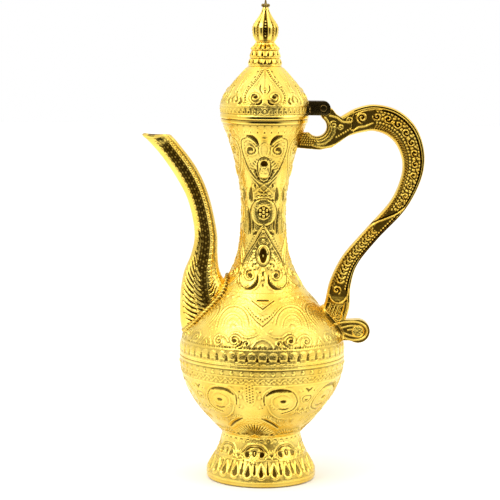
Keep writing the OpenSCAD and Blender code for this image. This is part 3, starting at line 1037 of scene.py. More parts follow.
@dataclass(frozen=True)
class Finishes:
    """Every finish of the pot, made once."""

    chased: bpy.types.Material = gold("Gold plate, chased casting")
    spout: bpy.types.Material = gold(
        "Gold plate, spout casting", recess="382300", roughness=0.2, stipple_mm=2.0
    )
    # A darker, more orange copy of the gold plate, as painted shade on the handle and on the
    # spout's rope.
    handle: bpy.types.Material = gold(
        "Gold plate, handle casting", bright="F8D662", warm="E6B740", stipple_mm=1.2
    )
    bright: bpy.types.Material = gold(
        "Gold plate, polished casting", roughness=0.15, stipple_mm=2.4, stipple=0.03
    )
    plain: bpy.types.Material = gold(
        "Gold plate, smooth", roughness=0.14, stipple_mm=4.0, stipple=0.01
    )
    # Gold plate darkened to paint the dark reflection in the hinge's flat faces; the finial's
    # flower takes the same darker plate.
    dark: bpy.types.Material = gold(
        "Darkened gold plate, painted reflection on the hinge", bright="8C7640", warm="766032", roughness=0.2, stipple_mm=4.0,
        stipple=0.01
    )
    steel: bpy.types.Material = field(default_factory=Steel().make)
    felt: bpy.types.Material = field(default_factory=Felt().make)
    rubber: bpy.types.Material = field(default_factory=SealRubber().make)


# ---- Body castings -------------------------------------------------------------------------------


@dataclass
class BodyShape:
    """The body's outline in millimetres, from the frame where the frame gives it.

    Attributes:
        wall: Thickness of the castings.
        waist_r: Radius between the foot and the bowl.
        shoulder: Radius and height of the shoulder.
        neck: Radius and height of the neck's narrowest place.
    """

    wall: float = 1.6
    waist_r: float = 26.3
    shoulder: tuple[float, float] = (30.3, 126.0)
    neck: tuple[float, float] = (14.8, 179.0)
    belly_r: float = field(init=False)
    mouth_r: float = field(init=False)
    foot_z: float = field(init=False)
    seam_z: float = field(init=False)
    mouth_z: float = field(init=False)

    def __post_init__(self) -> None:
        """Reads the sizes that the frame holds."""
        low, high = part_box("upper_body")
        self.belly_r, self.seam_z, self.mouth_z = high.y / MM, low.z / MM, high.z / MM
        self.foot_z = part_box("lower_body")[0].z / MM
        self.mouth_r = (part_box("lid_shell")[1].y / MM) - 0.4

    def upper(self) -> np.ndarray:
        """Returns the outline from the seam to the mouth."""
        seam, mouth, (sr, sz), (nr, nz) = self.seam_z, self.mouth_z, self.shoulder, self.neck
        belly = [(self.belly_r, seam), (self.belly_r, seam + 18), (sr + 18.5, sz - 22.5), (sr, sz)]
        throat = [(sr, sz), (sr - 12, sz + 15.5), (nr, nz - 26), (nr, nz)]
        lip = [(nr, nz), (nr, nz + 32), (self.mouth_r - 2.4, mouth - 7.2), (self.mouth_r, mouth)]
        return np.vstack([bezier(belly, 80), bezier(throat, 80)[1:], bezier(lip, 80)[1:]])

    def bowl(self) -> np.ndarray:
        """Returns the outline from the waist to the seam."""
        return bezier(
            [(self.waist_r, self.foot_z), (self.waist_r + 7, self.foot_z + 8.5),
             (self.belly_r, self.seam_z - 27), (self.belly_r, self.seam_z)], 90
        )


def between(outline: np.ndarray, low: float, high: float) -> np.ndarray:
    """Cuts an outline to the part between two heights, with a point at each.

    Args:
        outline: The outline, upward.
        low: The lower height.
        high: The upper height.

    Returns:
        The cut outline.
    """
    kept = outline[(outline[:, 1] > low) & (outline[:, 1] < high)]
    ends = [[np.interp(z, outline[:, 1], outline[:, 0]), z] for z in (low, high)]
    return np.vstack([ends[:1], kept, ends[1:]])


def inner_line(outside: np.ndarray, wall: float, pitch: float) -> np.ndarray:
    """Returns the inside of a wall, from the top of its outside back down to its bottom.

    Args:
        outside: The outside's rows, upward.
        wall: The thickness of the wall.
        pitch: The wanted distance between rows.
    """
    inside = even(beside(outside, wall), pitch)
    inside[0, 1], inside[-1, 1] = outside[0, 1], outside[-1, 1]
    return inside[::-1]


SPLIT_Z = 128.5  # the upper casting is shown as two meshes that meet here, on a plain line


@dataclass
class UpperBody:
    """The upper casting: belly, shoulder, neck and mouth, with its chased hearts and scrolls."""

    shape: BodyShape
    pitch: float = 0.56
    belly_steps: int = 620
    neck_steps: int = 330
    polished_z: float = 238.4

    def build(self, finishes: Finishes) -> None:
        """Builds both parts of the casting and hands them over.

        Args:
            finishes: The pot's finishes.
        """
        outline = self.shape.upper()
        seam, mouth = self.shape.seam_z, self.shape.mouth_z
        for name, low, high, steps, motif in (
            ("upper_body_belly", seam, SPLIT_Z, self.belly_steps, self.belly_motif),
            ("upper_body_neck", SPLIT_Z, mouth, self.neck_steps, self.neck_motif),
        ):
            outside = even(between(outline, low, high), self.pitch)
            relief = TurnedRelief(outside, steps, 4)
            motif(relief)
            # The relief runs out within a millimetre of the line where the two meshes meet.
            fade = np.clip((np.abs(relief.height() - SPLIT_Z) - 0.3) / 0.9, 0, 1)
            inside = inner_line(outside, self.shape.wall, 4.0)
            turned = Turned(name, outside, inside, steps, (self.polished_z, mouth + 1))
            piece = turned.build(relief.h * fade)
            hand_over(piece, Body.POT, finishes.chased, ["upper_body"])

    def belly_motif(self, r: TurnedRelief) -> None:
        """Draws the gadroons over the seam and the lobes and scrolls of the belly.

        Args:
            r: The relief to draw on.
        """
        r.gadroons(50, 88.0, 93.6, 1.0, 0.65)
        r.drops(50, 86.9, 91.6, 2.6, -0.75, 3.6)
        r.hoop(85.9, 1.5, 0.25)
        r.hoop(84.2, 0.7, -0.5)
        r.hoop(94.6, 0.8, 0.3)
        # Scroll row along the gadroons
        r.curl((18.5, 100.5), 4.2, 200, -1.4, 1.3, 0.8)
        r.curl((10.6, 98.9), 2.9, -20, 1.3, 1.1, 0.7)
        r.stroke([(0, 101.6), (3, 100.9), (5.6, 98.6), (6.8, 96.2)], 1.2, 0.7)
        r.stroke([(0, 98.6), (2.2, 97.6), (3.0, 96)], 1.0, 0.6)
        r.dome((0, 97.0), 2.2, 2.2, 0.8)
        r.stroke([(21.5, 104.2), (16.5, 105.2), (12.2, 102.8), (6.5, 103.2), (2.5, 105.2)], 1.2,
                 0.7, 0.5)
        r.stroke([(22.8, 99.5), (25.5, 102.6), (30, 103), (33.5, 100.4), (33, 97.4), (29.8, 97)],
                 1.2, 0.7)
        r.curl((30.2, 99.5), 2.4, 250, -1.2, 1.0, 0.7)
        r.dome((18.5, 100.5), 3.2, 2.6, -1.3)
        r.dome((10.6, 98.9), 2.0, 1.8, -1.0)
        r.stroke([(13.8, 100.8), (14.4, 98.2), (17.2, 96.6)], 1.3, -0.8, 0.8)
        for u in (5.2, 8.2, 14.6, 21.8, 24.6):
            r.dome((u, 95.9), 1.5, 1.2, -0.8)
        for u in (26.0, 36.8, 40.5):
            r.leaf((u, 95.8), (u + 1.6, 101.5), 2.4, 0.7)
        r.beads(r.placed([(0, 95.9), (43, 95.9)]), 2.0, 1.1, -0.45)
        # Triangle and V under the heart
        r.stroke([(0, 124.2), (3.6, 124.2)], 1.2, -0.7)
        r.double([(7.6, 123.4), (4.0, 121.0), (0, 118.2)], 1.0, 0.6, -1.7)
        r.dome((0, 121.6), 3.0, 2.2, 0.6)
        r.double([(13.0, 119.6), (8.6, 115.4), (4.2, 111.2), (0, 108.2)], 1.2, 0.4, -2.0)
        r.beads(r.placed([(9.4, 119.4), (5.4, 115.6), (0, 112.2)]), 1.9, 1.2, -0.6)
        r.fan((0, 116.5), 1.5, 4.2, (200, 340), 7, 1.0, 0.5)
        # Big lobes each side
        arch = [(7.5, 110.4), (9.6, 116.5), (14.5, 120.2), (21.5, 120.6), (28, 117.6), (32, 112.4),
                (33.5, 107)]
        r.double(arch, 1.3, 0.32, -2.1)
        inner = [(12.2, 108.6), (13.6, 113.2), (17.5, 116), (22.5, 115.8), (26.6, 112.8),
                 (28, 108.8)]
        r.double(inner, 1.1, 0.26, -1.8)
        r.fan((20, 108.6), 2.2, 6.0, (10, 170), 9, 1.3, 0.26)
        r.dome((20, 108.6), 3.4, 3.4, 0.6)
        r.beads(beside(smooth(r.placed(arch)), 2.0), 2.1, 1.2, 0.28)
        r.curl((36.6, 115.2), 3.8, 90, -1.4, 1.2, 0.4)
        r.curl((38.5, 106.6), 3.2, 270, 1.3, 1.1, 0.4)
        for z in (103.8, 109.6, 119.8, 123.6):
            r.leaf((41.5, z), (35.2, z + 2.2), 2.2, 0.35)
        for u, z, lean in ((11.5, 124.2, 30), (16.6, 125.2, 10), (21.6, 125.4, -10),
                           (5.4, 106.6, 50)):
            r.dome((u, z), 3.4, 1.5, 0.6, lean)

    def neck_motif(self, r: TurnedRelief) -> None:
        """Draws the two hearts, the medallion and the jewels of the neck.

        Args:
            r: The relief to draw on.
        """
        self._mouth(r)
        self._upper_heart(r)
        self._medallion(r)
        self._lower_heart(r)
        self._sides(r)

    def _mouth(self, r: TurnedRelief) -> None:
        """Draws the plain lip and the row of leaves under it.

        Args:
            r: The relief to draw on.
        """
        r.drops(36, 231.6, 236.3, 2.9, 0.4)
        r.studs(36, 233.4, 1.0, 1.8, -0.35)
        r.studs(36, 237.2, 1.4, 0.7, -0.35)
        r.band(238.8, 240.4)

    def _upper_heart(self, r: TurnedRelief) -> None:
        """Draws the upright heart with its eyes, rays and hanging jewel.

        Args:
            r: The relief to draw on.
        """
        heart = [(0, 199.2), (3.6, 200.8), (7.4, 204), (11, 208.4), (14.6, 215), (17.2, 222.2),
                 (17.0, 228.4),
                 (12.6, 230.6)]
        r.double(heart, 1.15, 0.5, 1.9)
        r.beads(beside(smooth(r.placed(heart)), 3.6), 1.9, 1.0, -0.35)
        r.curl((9.2, 221.8), 4.8, 150, 1.5, 1.4, 0.75)
        r.stroke([(13.6, 227.6), (9.6, 227.0), (6.6, 224.8), (4.9, 221.8), (4.6, 218.6)], 1.1, 0.6,
                 0.4)
        r.stroke([(0, 226.6), (2.6, 224.2), (3.0, 221), (1.6, 218)], 1.0, 0.6, 0.4)
        r.dome((0, 229.3), 4.4, 1.5, 0.6)
        r.fan((0, 206.5), 6.4, 10.4, (14, 84), 7, 1.3, 0.6)
        r.stroke([(0, 217.4), (3.4, 215.4), (4.4, 211.6), (3.8, 206.4), (0, 202.2)], 1.0, -0.5, 0.4)
        r.drops(4, 202.8, 213.6, 6.4, 1.4)
        r.ring((0, 212.4), 3.0, 1.0, 0.7)
        r.dome((0, 212.4), 5.0, 4.6, -1.9)
        for u, z in ((5.9, 208.0), (5.0, 205.2), (3.6, 202.8)):
            r.dome((u, z), 1.7, 3.2, -1.1, -25)
        r.dome((9.2, 221.8), 4.0, 3.0, -1.5)
        r.stroke([(12.4, 230.9), (8.8, 230.4), (5.9, 228.4), (3.9, 225.2)], 2.4, -1.4, 0.75)
        r.beads(r.placed([(0, 217.9), (3.3, 216.6), (5.2, 213.2)]), 1.5, 1.0, 0.5)

    def _medallion(self, r: TurnedRelief) -> None:
        """Draws the crossing scrolls and the round medallion at the narrow of the neck.

        Args:
            r: The relief to draw on.
        """
        r.stroke([(0, 198.8), (3.4, 196.2), (6.6, 193.4), (8.6, 195.8), (7.2, 199.2)], 1.1, 0.65,
                 0.3)
        r.stroke([(0, 193.8), (2.6, 196.6), (5.4, 199.8), (9, 203.4)], 1.0, 0.6, 0.4)
        r.dome((5.9, 198.2), 1.3, 2.8, -0.9, -20)
        r.stroke([(8.9, 197.0), (9.2, 192.2), (8.2, 187.0)], 3.0, -1.4, 0.85)
        for z, spots in ((191.2, (1.3, 3.6)), (188.3, (1.3, 3.6, 5.9)), (193.6, (1.1,))):
            for u in spots:
                r.dome((u, z), 1.9, 1.4, -1.0)
        r.stroke([(0, 189.8), (6.5, 189.8)], 0.8, 0.5)
        r.ring((0, 180.2), 6.6, 4.4, 0.6)
        r.ring((0, 180.2), 9.4, 0.9, -0.45)
        r.dome((0, 180.2), 8.4, 8.4, -1.2)
        centre = r.placed([(0, 180.2)])[0]
        for k in range(6):
            turn = math.radians(30 + 60 * k)
            spot = centre + 2.5 * np.array([math.cos(turn), math.sin(turn)])
            r.beads(np.array([spot, spot + 0.01]), 1, 1.7, 0.5)
        r.dome((0, 180.2), 1.9, 1.9, 0.7)
        r.stroke([(11.2, 183), (10.2, 177), (9.2, 171.6), (9.2, 165.6)], 1.9, -1.1, 0.8)
        r.stroke([(7.4, 174.2), (6.8, 171.2), (7.2, 168.4)], 1.4, -0.8, 0.7)
        r.stroke([(11.4, 183), (10.9, 177), (10.4, 171.6), (10.8, 165.2)], 0.9, 0.6, 0.4)

    def _lower_heart(self, r: TurnedRelief) -> None:
        """Draws the hanging heart with its chains of dots, its jewel and its two scrolls.

        Args:
            r: The relief to draw on.
        """
        heart = [(0, 171.2), (1.8, 168.6), (5.2, 162.6), (8, 158.2), (11, 153.8), (14.6, 147.6),
                 (17.6, 140.4),
                 (17.4, 134.2), (13.4, 130.8), (8.8, 132.2)]
        r.double(heart, 1.15, 0.7, -1.8)
        r.beads(beside(smooth(r.placed(heart[:7])), -3.5), 1.7, 1.1, -0.6)
        r.beads(beside(smooth(r.placed(heart[1:7])), -5.0), 2.3, 1.3, 0.5)
        r.beads(beside(smooth(r.placed(heart[1:8])), 1.6), 2.0, 1.1, -0.5)
        for z in (170.4, 167.4, 164.9):
            r.dome((0, z), 2.6, 1.7, 0.8)
        for z in (168.9, 166.2, 163.4):
            r.dome((0, z), 2.0, 0.9, -0.7)
        r.dome((5.6, 166.4), 2.2, 3.8, -1.2, 40)
        r.dome((0, 152.2), 5.4, 10.4, -2.6)
        r.ring((0, 152.2), 3.8, 1.2, 0.8, 1.6)
        r.ring((0, 152.2), 5.0, 0.8, -0.4, 1.5)
        for turn in range(-60, 241, 25):
            way = np.array([math.cos(math.radians(turn)), 1.45 * math.sin(math.radians(turn))])
            centre = r.placed([(0, 152.2)])[0]
            r.line(np.array([centre + 5.6 * way, centre + 7.2 * way]), 1.1, 0.6, 0.4)
        r.curl((8.9, 139.3), 4.3, 100, -1.5, 1.4, 0.8)
        r.stroke([(1.2, 141.6), (2.0, 136.2), (4.2, 132.0), (7.4, 129.9)], 1.2, 0.7, 0.5)
        r.dome((0, 142.6), 2.0, 3.6, 0.9)
        r.dome((0, 137.6), 2.4, 3.2, 0.8)
        r.dome((0, 133.4), 1.6, 2.4, -0.7)
        for u, z, lean in ((3.6, 145.2, 30), (6.4, 147.2, 50), (12.8, 144.2, 10),
                           (14.6, 138.4, -10), (5.8, 143.6, 0)):
            r.dome((u, z), 1.6, 2.4, 0.6, lean)
            r.dome((u + 1.3, z + 1.2), 1.2, 1.2, -0.6)
        r.dome((8.9, 139.3), 3.4, 3.0, -1.4)
        r.stroke([(3.4, 139.4), (4.4, 134.8), (7.8, 131.7), (12.6, 130.9)], 2.4, -1.3, 0.8)

    def _sides(self, r: TurnedRelief) -> None:
        """Draws the leaf strokes and small scrolls between one heart and the next.

        Args:
            r: The relief to draw on.
        """
        for z, out in ((136, 21.5), (144, 17.6), (151, 15.2), (158, 12.2)):
            r.leaf((out + 1.8, z - 3.0), (out - 0.8, z + 3.2), 2.4, 0.4)
        for z in (187.5, 193.5, 199.5, 205.5):
            reach = 11.6 + 0.16 * (z - 187)
            r.leaf((reach + 1.4, z - 2.2), (reach - 1.6, z + 2.6), 2.0, 0.35)
        for z, out in ((212.5, 18.6), (220.0, 20.4), (226.6, 21.4)):
            r.curl((out, z), 2.1, 90, 1.2, 1.0, 0.35)


@dataclass
class LowerBody:
    """The lower casting: a bowl with a bead row, a vine band and large curling leaves."""

    shape: BodyShape
    pitch: float = 0.56
    steps: int = 620
    floor_t: float = 2.4
    turn_deg: float = -9.0

    def build(self, finishes: Finishes) -> None:
        """Builds the bowl and hands it over.

        Args:
            finishes: The pot's finishes.
        """
        outside = even(self.shape.bowl(), self.pitch)
        relief = TurnedRelief(outside, self.steps, 4, self.turn_deg)
        self._bands(relief)
        self._leaves(relief)
        self._palmette(relief)
        inside = inner_line(outside, self.shape.wall, 4.0)
        floor_z = self.shape.foot_z + self.floor_t
        inside = inside[inside[:, 1] > floor_z + 1]
        under = [[inside[-1][0] - 2, floor_z], [0, floor_z], [0, self.shape.foot_z]]
        turned = Turned("lower_body_bowl", outside, np.vstack([inside, under]), self.steps)
        hand_over(turned.build(relief.h), Body.POT, finishes.chased, ["lower_body"])

    def _bands(self, r: TurnedRelief) -> None:
        """Draws the bead row and the vine under the seam.

        Args:
            r: The relief to draw on.
        """
        r.hoop(82.9, 1.8, 0.4)
        r.hoop(81.6, 0.8, -0.4)
        r.studs(50, 79.5, 2.6, 2.6, 1.0)
        r.hoop(77.4, 0.8, 0.4)
        vine = [(u, 74.6 + 1.5 * math.sin(u * 2 * math.pi / 7.2)) for u in np.arange(0, 43.3, 1.2)]
        r.stroke(vine, 0.9, 0.6)
        for k in range(12):
            u = 1.8 + 3.6 * k
            r.dome((u, 74.6 - (1.2 if k % 2 == 0 else -1.2)), 1.9, 1.3, 0.7, 35 if k % 2 else -35)
            r.dome((u + 1.7, 74.6 + (0.9 if k % 2 == 0 else -0.9)), 1.0, 1.0, -0.6)
        r.hoop(71.6, 0.8, 0.4)

    def _leaves(self, r: TurnedRelief) -> None:
        """Draws the large paired curls and the stems between them.

        Args:
            r: The relief to draw on.
        """
        r.stroke([(3.2, 71), (4.0, 66), (3.0, 61), (1.2, 57.4)], 1.0, 0.5, 0.5)
        for z in np.arange(59.5, 71, 1.9):
            r.dome((0, z), 1.7, 1.2, -0.6)
            r.dome((1.9, z + 0.9), 1.3, 1.2, -0.5)
        r.double([(8.2, 58), (8.6, 65.2), (14, 70), (21.5, 70.6), (29.4, 67.4), (32.6, 60),
                  (29, 53.6), (20, 50.6)],
                 1.3, 0.5, -1.9)
        r.stroke([(27.4, 62), (24.8, 65.0), (19.6, 65.6), (14.6, 62.8), (14.4, 57.8), (18.4, 54.6)],
                 1.3, 0.5, 0.5)
        r.stroke([(26.4, 59), (23.6, 56.4), (19.4, 57), (18.0, 60)], 1.1, 0.45, 0.5)
        r.fan((21.6, 60.2), 7.4, 9.6, (190, 350), 13, 0.9, 0.4)
        r.stroke([(10.4, 64.6), (15.4, 67.8), (22.2, 68.2), (27.8, 67.2)], 2.3, -1.4, 0.8)
        r.dome((21.8, 60.2), 4.6, 2.4, -1.5)
        r.stroke([(17.2, 55.4), (21.6, 54.4), (25.4, 55.2)], 1.3, -0.6, 0.8)
        r.stroke([(11.2, 57.4), (12.8, 52), (17.2, 48), (23.6, 47)], 1.2, 0.7, 0.5)
        r.stroke([(38.6, 69), (42.6, 64.6), (44.4, 59.2)], 2.1, -1.1, 0.8)
        r.curl((38.2, 60.4), 4.6, 60, 1.2, 1.2, 0.5)
        r.dome((38.2, 60.4), 2.0, 2.0, -0.7)
        for u, z, lean in ((5.2, 68.2, 20), (6.2, 63.6, -10), (6.0, 56.4, 10), (34.4, 67.4, 40),
                           (33.6, 54.2, -30)):
            r.dome((u, z), 1.8, 3.2, 0.65, lean)
            r.dome((u + 1.6, z - 0.8), 1.1, 1.1, -0.6)
        r.fan((30.5, 49.4), 2.2, 5.4, (20, 160), 7, 1.4, 0.6)
        r.fan((10, 46.8), 1.6, 4.4, (20, 170), 7, 1.2, 0.55)
        for u in (16.8, 21.4, 26.0):
            r.leaf((u, 43.6), (u + 0.6, 47.8), 2.2, 0.6)

    def _palmette(self, r: TurnedRelief) -> None:
        """Draws the fan of leaves that rises from the waist, and the ring under it.

        Args:
            r: The relief to draw on.
        """
        r.fan((0, 32.4), 2.0, 15.0, (4, 90), 11, 1.8, 0.5)
        r.fan((0, 32.4), 3.0, 14.0, (8, 86), 10, 1.1, -0.9)
        r.fan((20.5, 33.6), 2.0, 7.2, (30, 150), 7, 1.4, 0.6)
        r.stroke([(6.6, 47.4), (12.4, 43.6), (16.4, 39.4)], 1.9, -1.0, 0.6)
        r.stroke([(7.6, 49.2), (13.6, 45.4), (18.2, 41.2)], 1.1, 0.6, 0.5)
        for u in np.arange(1.6, 22, 3.3):
            r.dome((u, 34.4), 2.2, 1.2, -0.8)


# ---- Foot ----------------------------------------------------------------------------------------


@dataclass
class Foot:
    """The flared foot, with scrolls in its cove, a ring of drops and a plain rolled rim."""

    shape: BodyShape
    rim_r: float = 36.4
    rim_z: float = 5.4
    wall: float = 1.6
    lip: float = 2.2
    pitch: float = 0.42
    steps: int = 560

    def build(self, finishes: Finishes) -> None:
        """Builds the foot and hands it over, with the plate and the pad under it.

        Args:
            finishes: The pot's finishes.
        """
        low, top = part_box("foot")[0].z / MM, self.shape.foot_z
        r, waist = self.rim_r, self.shape.waist_r
        rim = [(r - 1.0, low), (r - 0.3, low + 0.35), (r, low + 1.0)]
        side = bezier([(r, self.rim_z), (r - 2.2, 13), (waist + 0.4, 19), (waist, top)], 70)
        outside = even(np.vstack([rim, side]), self.pitch)
        relief = TurnedRelief(outside, self.steps, 8, -9.0)
        self._chase(relief)
        inside = inner_line(outside, self.wall, 3.0)
        seat = low + 3.2
        inside = inside[(inside[:, 1] < top - 3.5) & (inside[:, 1] > seat + 0.4)]
        web = [[0, top], [0, top - 2.4], [waist - 2.2, top - 2.4]]
        lip = [[r - 2 * self.lip + 0.4, seat], [r - self.lip, seat], [r - self.lip, low]]
        turned = Turned("foot_casting", outside, np.vstack([web, inside, lip]), self.steps)
        piece = turned.build(relief.h, 4)
        hand_over(piece, Body.POT, finishes.chased, ["foot"])
        plate = Softened("base_plate", "base_plate_disc", 0.4, Body.POT, "foot_plate")
        plate.build(finishes.plain)
        Softened("base_pad", "base_pad_felt", 0.5, Body.POT, "felt_pad").build(finishes.felt)

    def _chase(self, r: TurnedRelief) -> None:
        """Draws the foot's ornament.

        Args:
            r: The relief to draw on.
        """
        r.studs(36, 30.2, 2.4, 1.1, -0.7)
        r.studs(36, 28.6, 1.6, 1.2, 0.5, 5.0)
        r.double([(0, 27.6), (4.6, 26.8), (8.2, 23.2), (9.8, 18.6)], 1.2, 0.7, -1.7)
        r.curl((4.8, 20.6), 3.2, 120, -1.2, 1.3, 0.8)
        r.stroke([(0, 25.6), (3.6, 25.0), (6.2, 22.8)], 1.3, -0.9, 0.6)
        r.dome((4.8, 20.6), 3.4, 3.6, -1.4)
        r.dome((0, 21.6), 3.0, 4.6, -1.3)
        r.dome((0, 21.6), 1.1, 2.8, 0.5)
        r.fan((0, 17.8), 1.0, 3.8, (-150, -30), 5, 1.1, 0.6)
        r.fan((10.6, 19.0), 1.4, 5.2, (40, 140), 6, 1.2, 0.6)
        r.stroke([(6.8, 16.9), (9.6, 19.6), (11.8, 17.6)], 1.1, 0.6, 0.4)
        r.hoop(17.0, 0.8, 0.3)
        r.drops(24, 5.2, 16.4, 7.8, 1.0)
        r.drops(24, 6.5, 14.0, 5.0, -0.35)
        r.drops(24, 7.3, 12.8, 3.3, -1.1)
        r.drops(24, 8.4, 17.4, 2.0, -1.0, 7.5)
        r.hoop(3.9, 1.5, 0.45)


# ---- Lid and finial ------------------------------------------------------------------------------


@dataclass
class Lid:
    """The domed lid with its inner skirt."""

    wall: float = 1.6
    seat_r: float = 11.0
    dome_rise: float = 25.5
    pitch: float = 0.4
    steps: int = 460

    def build(self, finishes: Finishes) -> None:
        """Builds the dome and the skirt and hands them over.

        Args:
            finishes: The pot's finishes.
        """
        low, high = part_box("lid_shell")
        rim, top, r = low.z / MM, high.z / MM, high.y / MM
        edge, under = top - self.dome_rise, top - self.wall
        side = bezier([(r, edge), (r, edge + 7.5), (self.seat_r + 5, top - 5), (self.seat_r, top)],
                      70)
        lip = [(r - 0.5, rim), (r, rim + 0.7), (r, rim + 2.4), (r - 0.4, rim + 3.0)]
        outside = even(np.vstack([lip, side]), self.pitch)
        relief = TurnedRelief(outside, self.steps, 4)
        self._chase(relief)
        inside = inner_line(outside, self.wall, 2.5)
        inside = inside[inside[:, 1] < under - 0.6]
        inside = np.vstack([[[0, top], [0, under], [inside[0][0], under]], inside])
        turned = Turned("lid_dome", outside, inside, self.steps, (rim - 1, rim + 2.5))
        piece = turned.build(relief.h)
        hand_over(piece, Body.LID, finishes.chased, ["lid_shell"])
        skirt = Softened("lid_skirt", "lid_skirt_ring", 0.3, Body.LID, "gold_lid", 2)
        skirt.build(finishes.plain)

    def _chase(self, r: TurnedRelief) -> None:
        """Draws the lid's ornament.

        Args:
            r: The relief to draw on.
        """
        r.hoop(245.0, 0.6, -0.3)
        r.gadroons(52, 245.4, 249.4, 0.9, 0.4)
        r.drops(52, 245.6, 248.2, 1.3, -0.45)
        r.dome((0, 247.4), 6.0, 5.6, 0.9)
        r.dome((0, 247.4), 4.4, 4.0, -0.5)
        r.dome((0, 247.4), 1.8, 1.8, 0.9)
        r.hoop(250.4, 0.8, 0.2)
        r.curl((6.2, 256.2), 4.6, 230, 1.3, 1.4, 0.8)
        r.leaf((0, 262.5), (0, 274.4), 2.0, 0.3)
        r.dome((0, 260.4), 2.6, 3.2, 0.9)
        r.dome((0, 260.4), 1.2, 1.6, -0.6)
        r.stroke([(1.4, 258.4), (3.2, 261.4), (2.6, 264.6)], 1.0, -0.7, 0.6)
        band = [(2.6, 274.2), (5.4, 269.6), (8.8, 265.6), (12.6, 261.4), (14.8, 257), (14.2, 253)]
        r.double(band, 1.2, 0.5, -2.6)
        r.beads(beside(smooth(r.placed(band)), -1.2), 1.9, 1.2, 0.6)
        r.leaf((3.6, 266.4), (6.6, 261.4), 1.8, 0.55)
        for u, z in ((17.6, 253.2), (20.6, 254.4)):
            r.stroke([(u, z + 2.8), (u - 1.0, z), (u + 0.8, z - 1.6)], 1.7, -0.95, 0.7)
        r.stroke([(22.8, 259.6), (19.0, 258.4), (17.4, 262), (14.4, 266)], 1.1, 0.65, 0.4)
        r.curl((20.4, 261.2), 2.6, 100, 1.3, 1.1, 0.65)
        r.leaf((16.0, 263.6), (9.4, 271.8), 2.0, 0.3)
        r.leaf((19.6, 266.2), (11.2, 273.4), 1.6, 0.3)
        r.dome((6.2, 256.2), 3.2, 2.4, -1.4)
        r.stroke([(1.8, 254.6), (3.2, 252.4), (6.2, 251.8)], 1.9, -1.1, 0.8)
        r.stroke([(0.4, 274.6), (0.3, 268), (0.2, 262)], 0.6, -0.3, 0.3)
        for u, z in ((4.6, 272.6), (6.6, 269.0), (9.0, 265.8), (11.4, 262.8)):
            r.dome((u, z), 1.2, 1.7, -0.6, 30)


@dataclass
class Finial:
    """The tiered collar, the fluted bud and the small flower on top of the lid."""

    flutes: int = 8
    leaves: int = 16
    pitch: float = 0.28
    steps: int = 320

    def build(self, finishes: Finishes) -> None:
        """Builds the collar, the bud and the flower and hands them over.

        Args:
            finishes: The pot's finishes.
        """
        self._collar(finishes)
        self._bud(finishes)
        flower = node_copy("finial_flower", "finial_flower_cast")
        worn_skin(flower, 0.11, 4)
        hand_over(flower, Body.LID, finishes.dark, ["finial_flower"])

    def _collar(self, finishes: Finishes) -> None:
        """Builds the three tiers of leaves, each a rounded step of the spire.

        Args:
            finishes: The pot's finishes.
        """
        low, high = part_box("spire_collar")
        base, top, r = low.z / MM, high.z / MM, high.y / MM
        tier = (top - base) / 3
        # How far in from the collar's radius, and how many tiers up, the outline turns.
        turns = [(0, 0.02), (0, 0.5), (0.9, 0.96), (0.7, 1.3), (1.8, 1.9), (1.6, 2.3), (4.0, 2.75),
                 (4.6, 3.0)]
        outside = even(smooth([(r - less, base + up * tier) for less, up in turns], 8), self.pitch)
        outside[:, 1] = np.maximum.accumulate(outside[:, 1]) + 1e-4 * np.arange(len(outside))
        relief = TurnedRelief(outside, self.steps, self.leaves)
        for k, up in enumerate((0.15, 1.15, 2.1)):
            turn = 180 / self.leaves * (k % 2)
            foot = base + up * tier
            relief.drops(self.leaves, foot, foot + 0.95 * tier, 3.2 - 0.4 * k, 0.65, turn)
            relief.drops(self.leaves, foot + 0.7, foot + 0.7 * tier, 1.6, -1.3, turn)
        relief.hoop(base + 0.45, 0.7, 0.35)
        for z in (base + tier, base + 2 * tier):
            relief.hoop(z, 0.6, -0.5)
        piece = self._turn("spire_collar_leaves", outside, relief.h - 0.1, 2)
        hand_over(piece, Body.LID, finishes.bright, ["spire_collar"])

    def _turn(self, name: str, outside: np.ndarray, heights: np.ndarray,
              reach: int) -> bpy.types.Object:
        """Turns a solid piece, with the painted shade in its recesses faded out towards the spout's
        and the handle's sides.

        Args:
            name: The piece's name.
            outside: Its outline, upward.
            heights: Its relief.
            reach: Neighbourhood for the recesses, in grid steps.

        Returns:
            The finished mesh.
        """
        axis = np.array([[0, outside[-1, 1]], [0, outside[0, 1]]])
        return Turned(name, outside, axis, self.steps, shade_side_fade=1.0).build(heights, reach)

    def _bud(self, finishes: Finishes) -> None:
        """Builds the bud, cut with upright flutes that close at its tip.

        Args:
            finishes: The pot's finishes.
        """
        low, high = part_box("finial_bud")
        base, top, r = low.z / MM, high.z / MM, high.y / MM
        lower = bezier([(5.4, base), (r - 1.0, base + 1.5), (r, base + 5), (r, base + 9)], 30)
        upper = bezier([(r, base + 9), (r, base + 13), (3.0, top - 6), (2.0, top)], 40)
        outside = even(np.vstack([lower, upper[1:]]), self.pitch)
        relief = TurnedRelief(outside, self.steps, self.flutes)
        share = relief.around(self.flutes) / (math.pi * relief.radius / self.flutes)
        swell = np.sin(math.pi * np.clip((relief.z - base) / (top - base), 0, 1))[:, None] ** 0.5
        relief.h += swell * (0.3 * share - 1.5 * np.clip(1 - (share / 0.66) ** 4, 0, 1))
        for z in np.arange(base + 4.5, top - 8, 1.9):
            relief.studs(self.flutes, z, 1.2, 1.3, 0.1)
        relief.hoop(top - 1.2, 0.9, 0.4)
        relief.hoop(base + 0.7, 0.9, 0.3)
        piece = self._turn("finial_bud_fluted", outside, relief.h, 3)
        hand_over(piece, Body.LID, finishes.bright, ["finial_bud"])


# ---- Spout ---------------------------------------------------------------------------------------


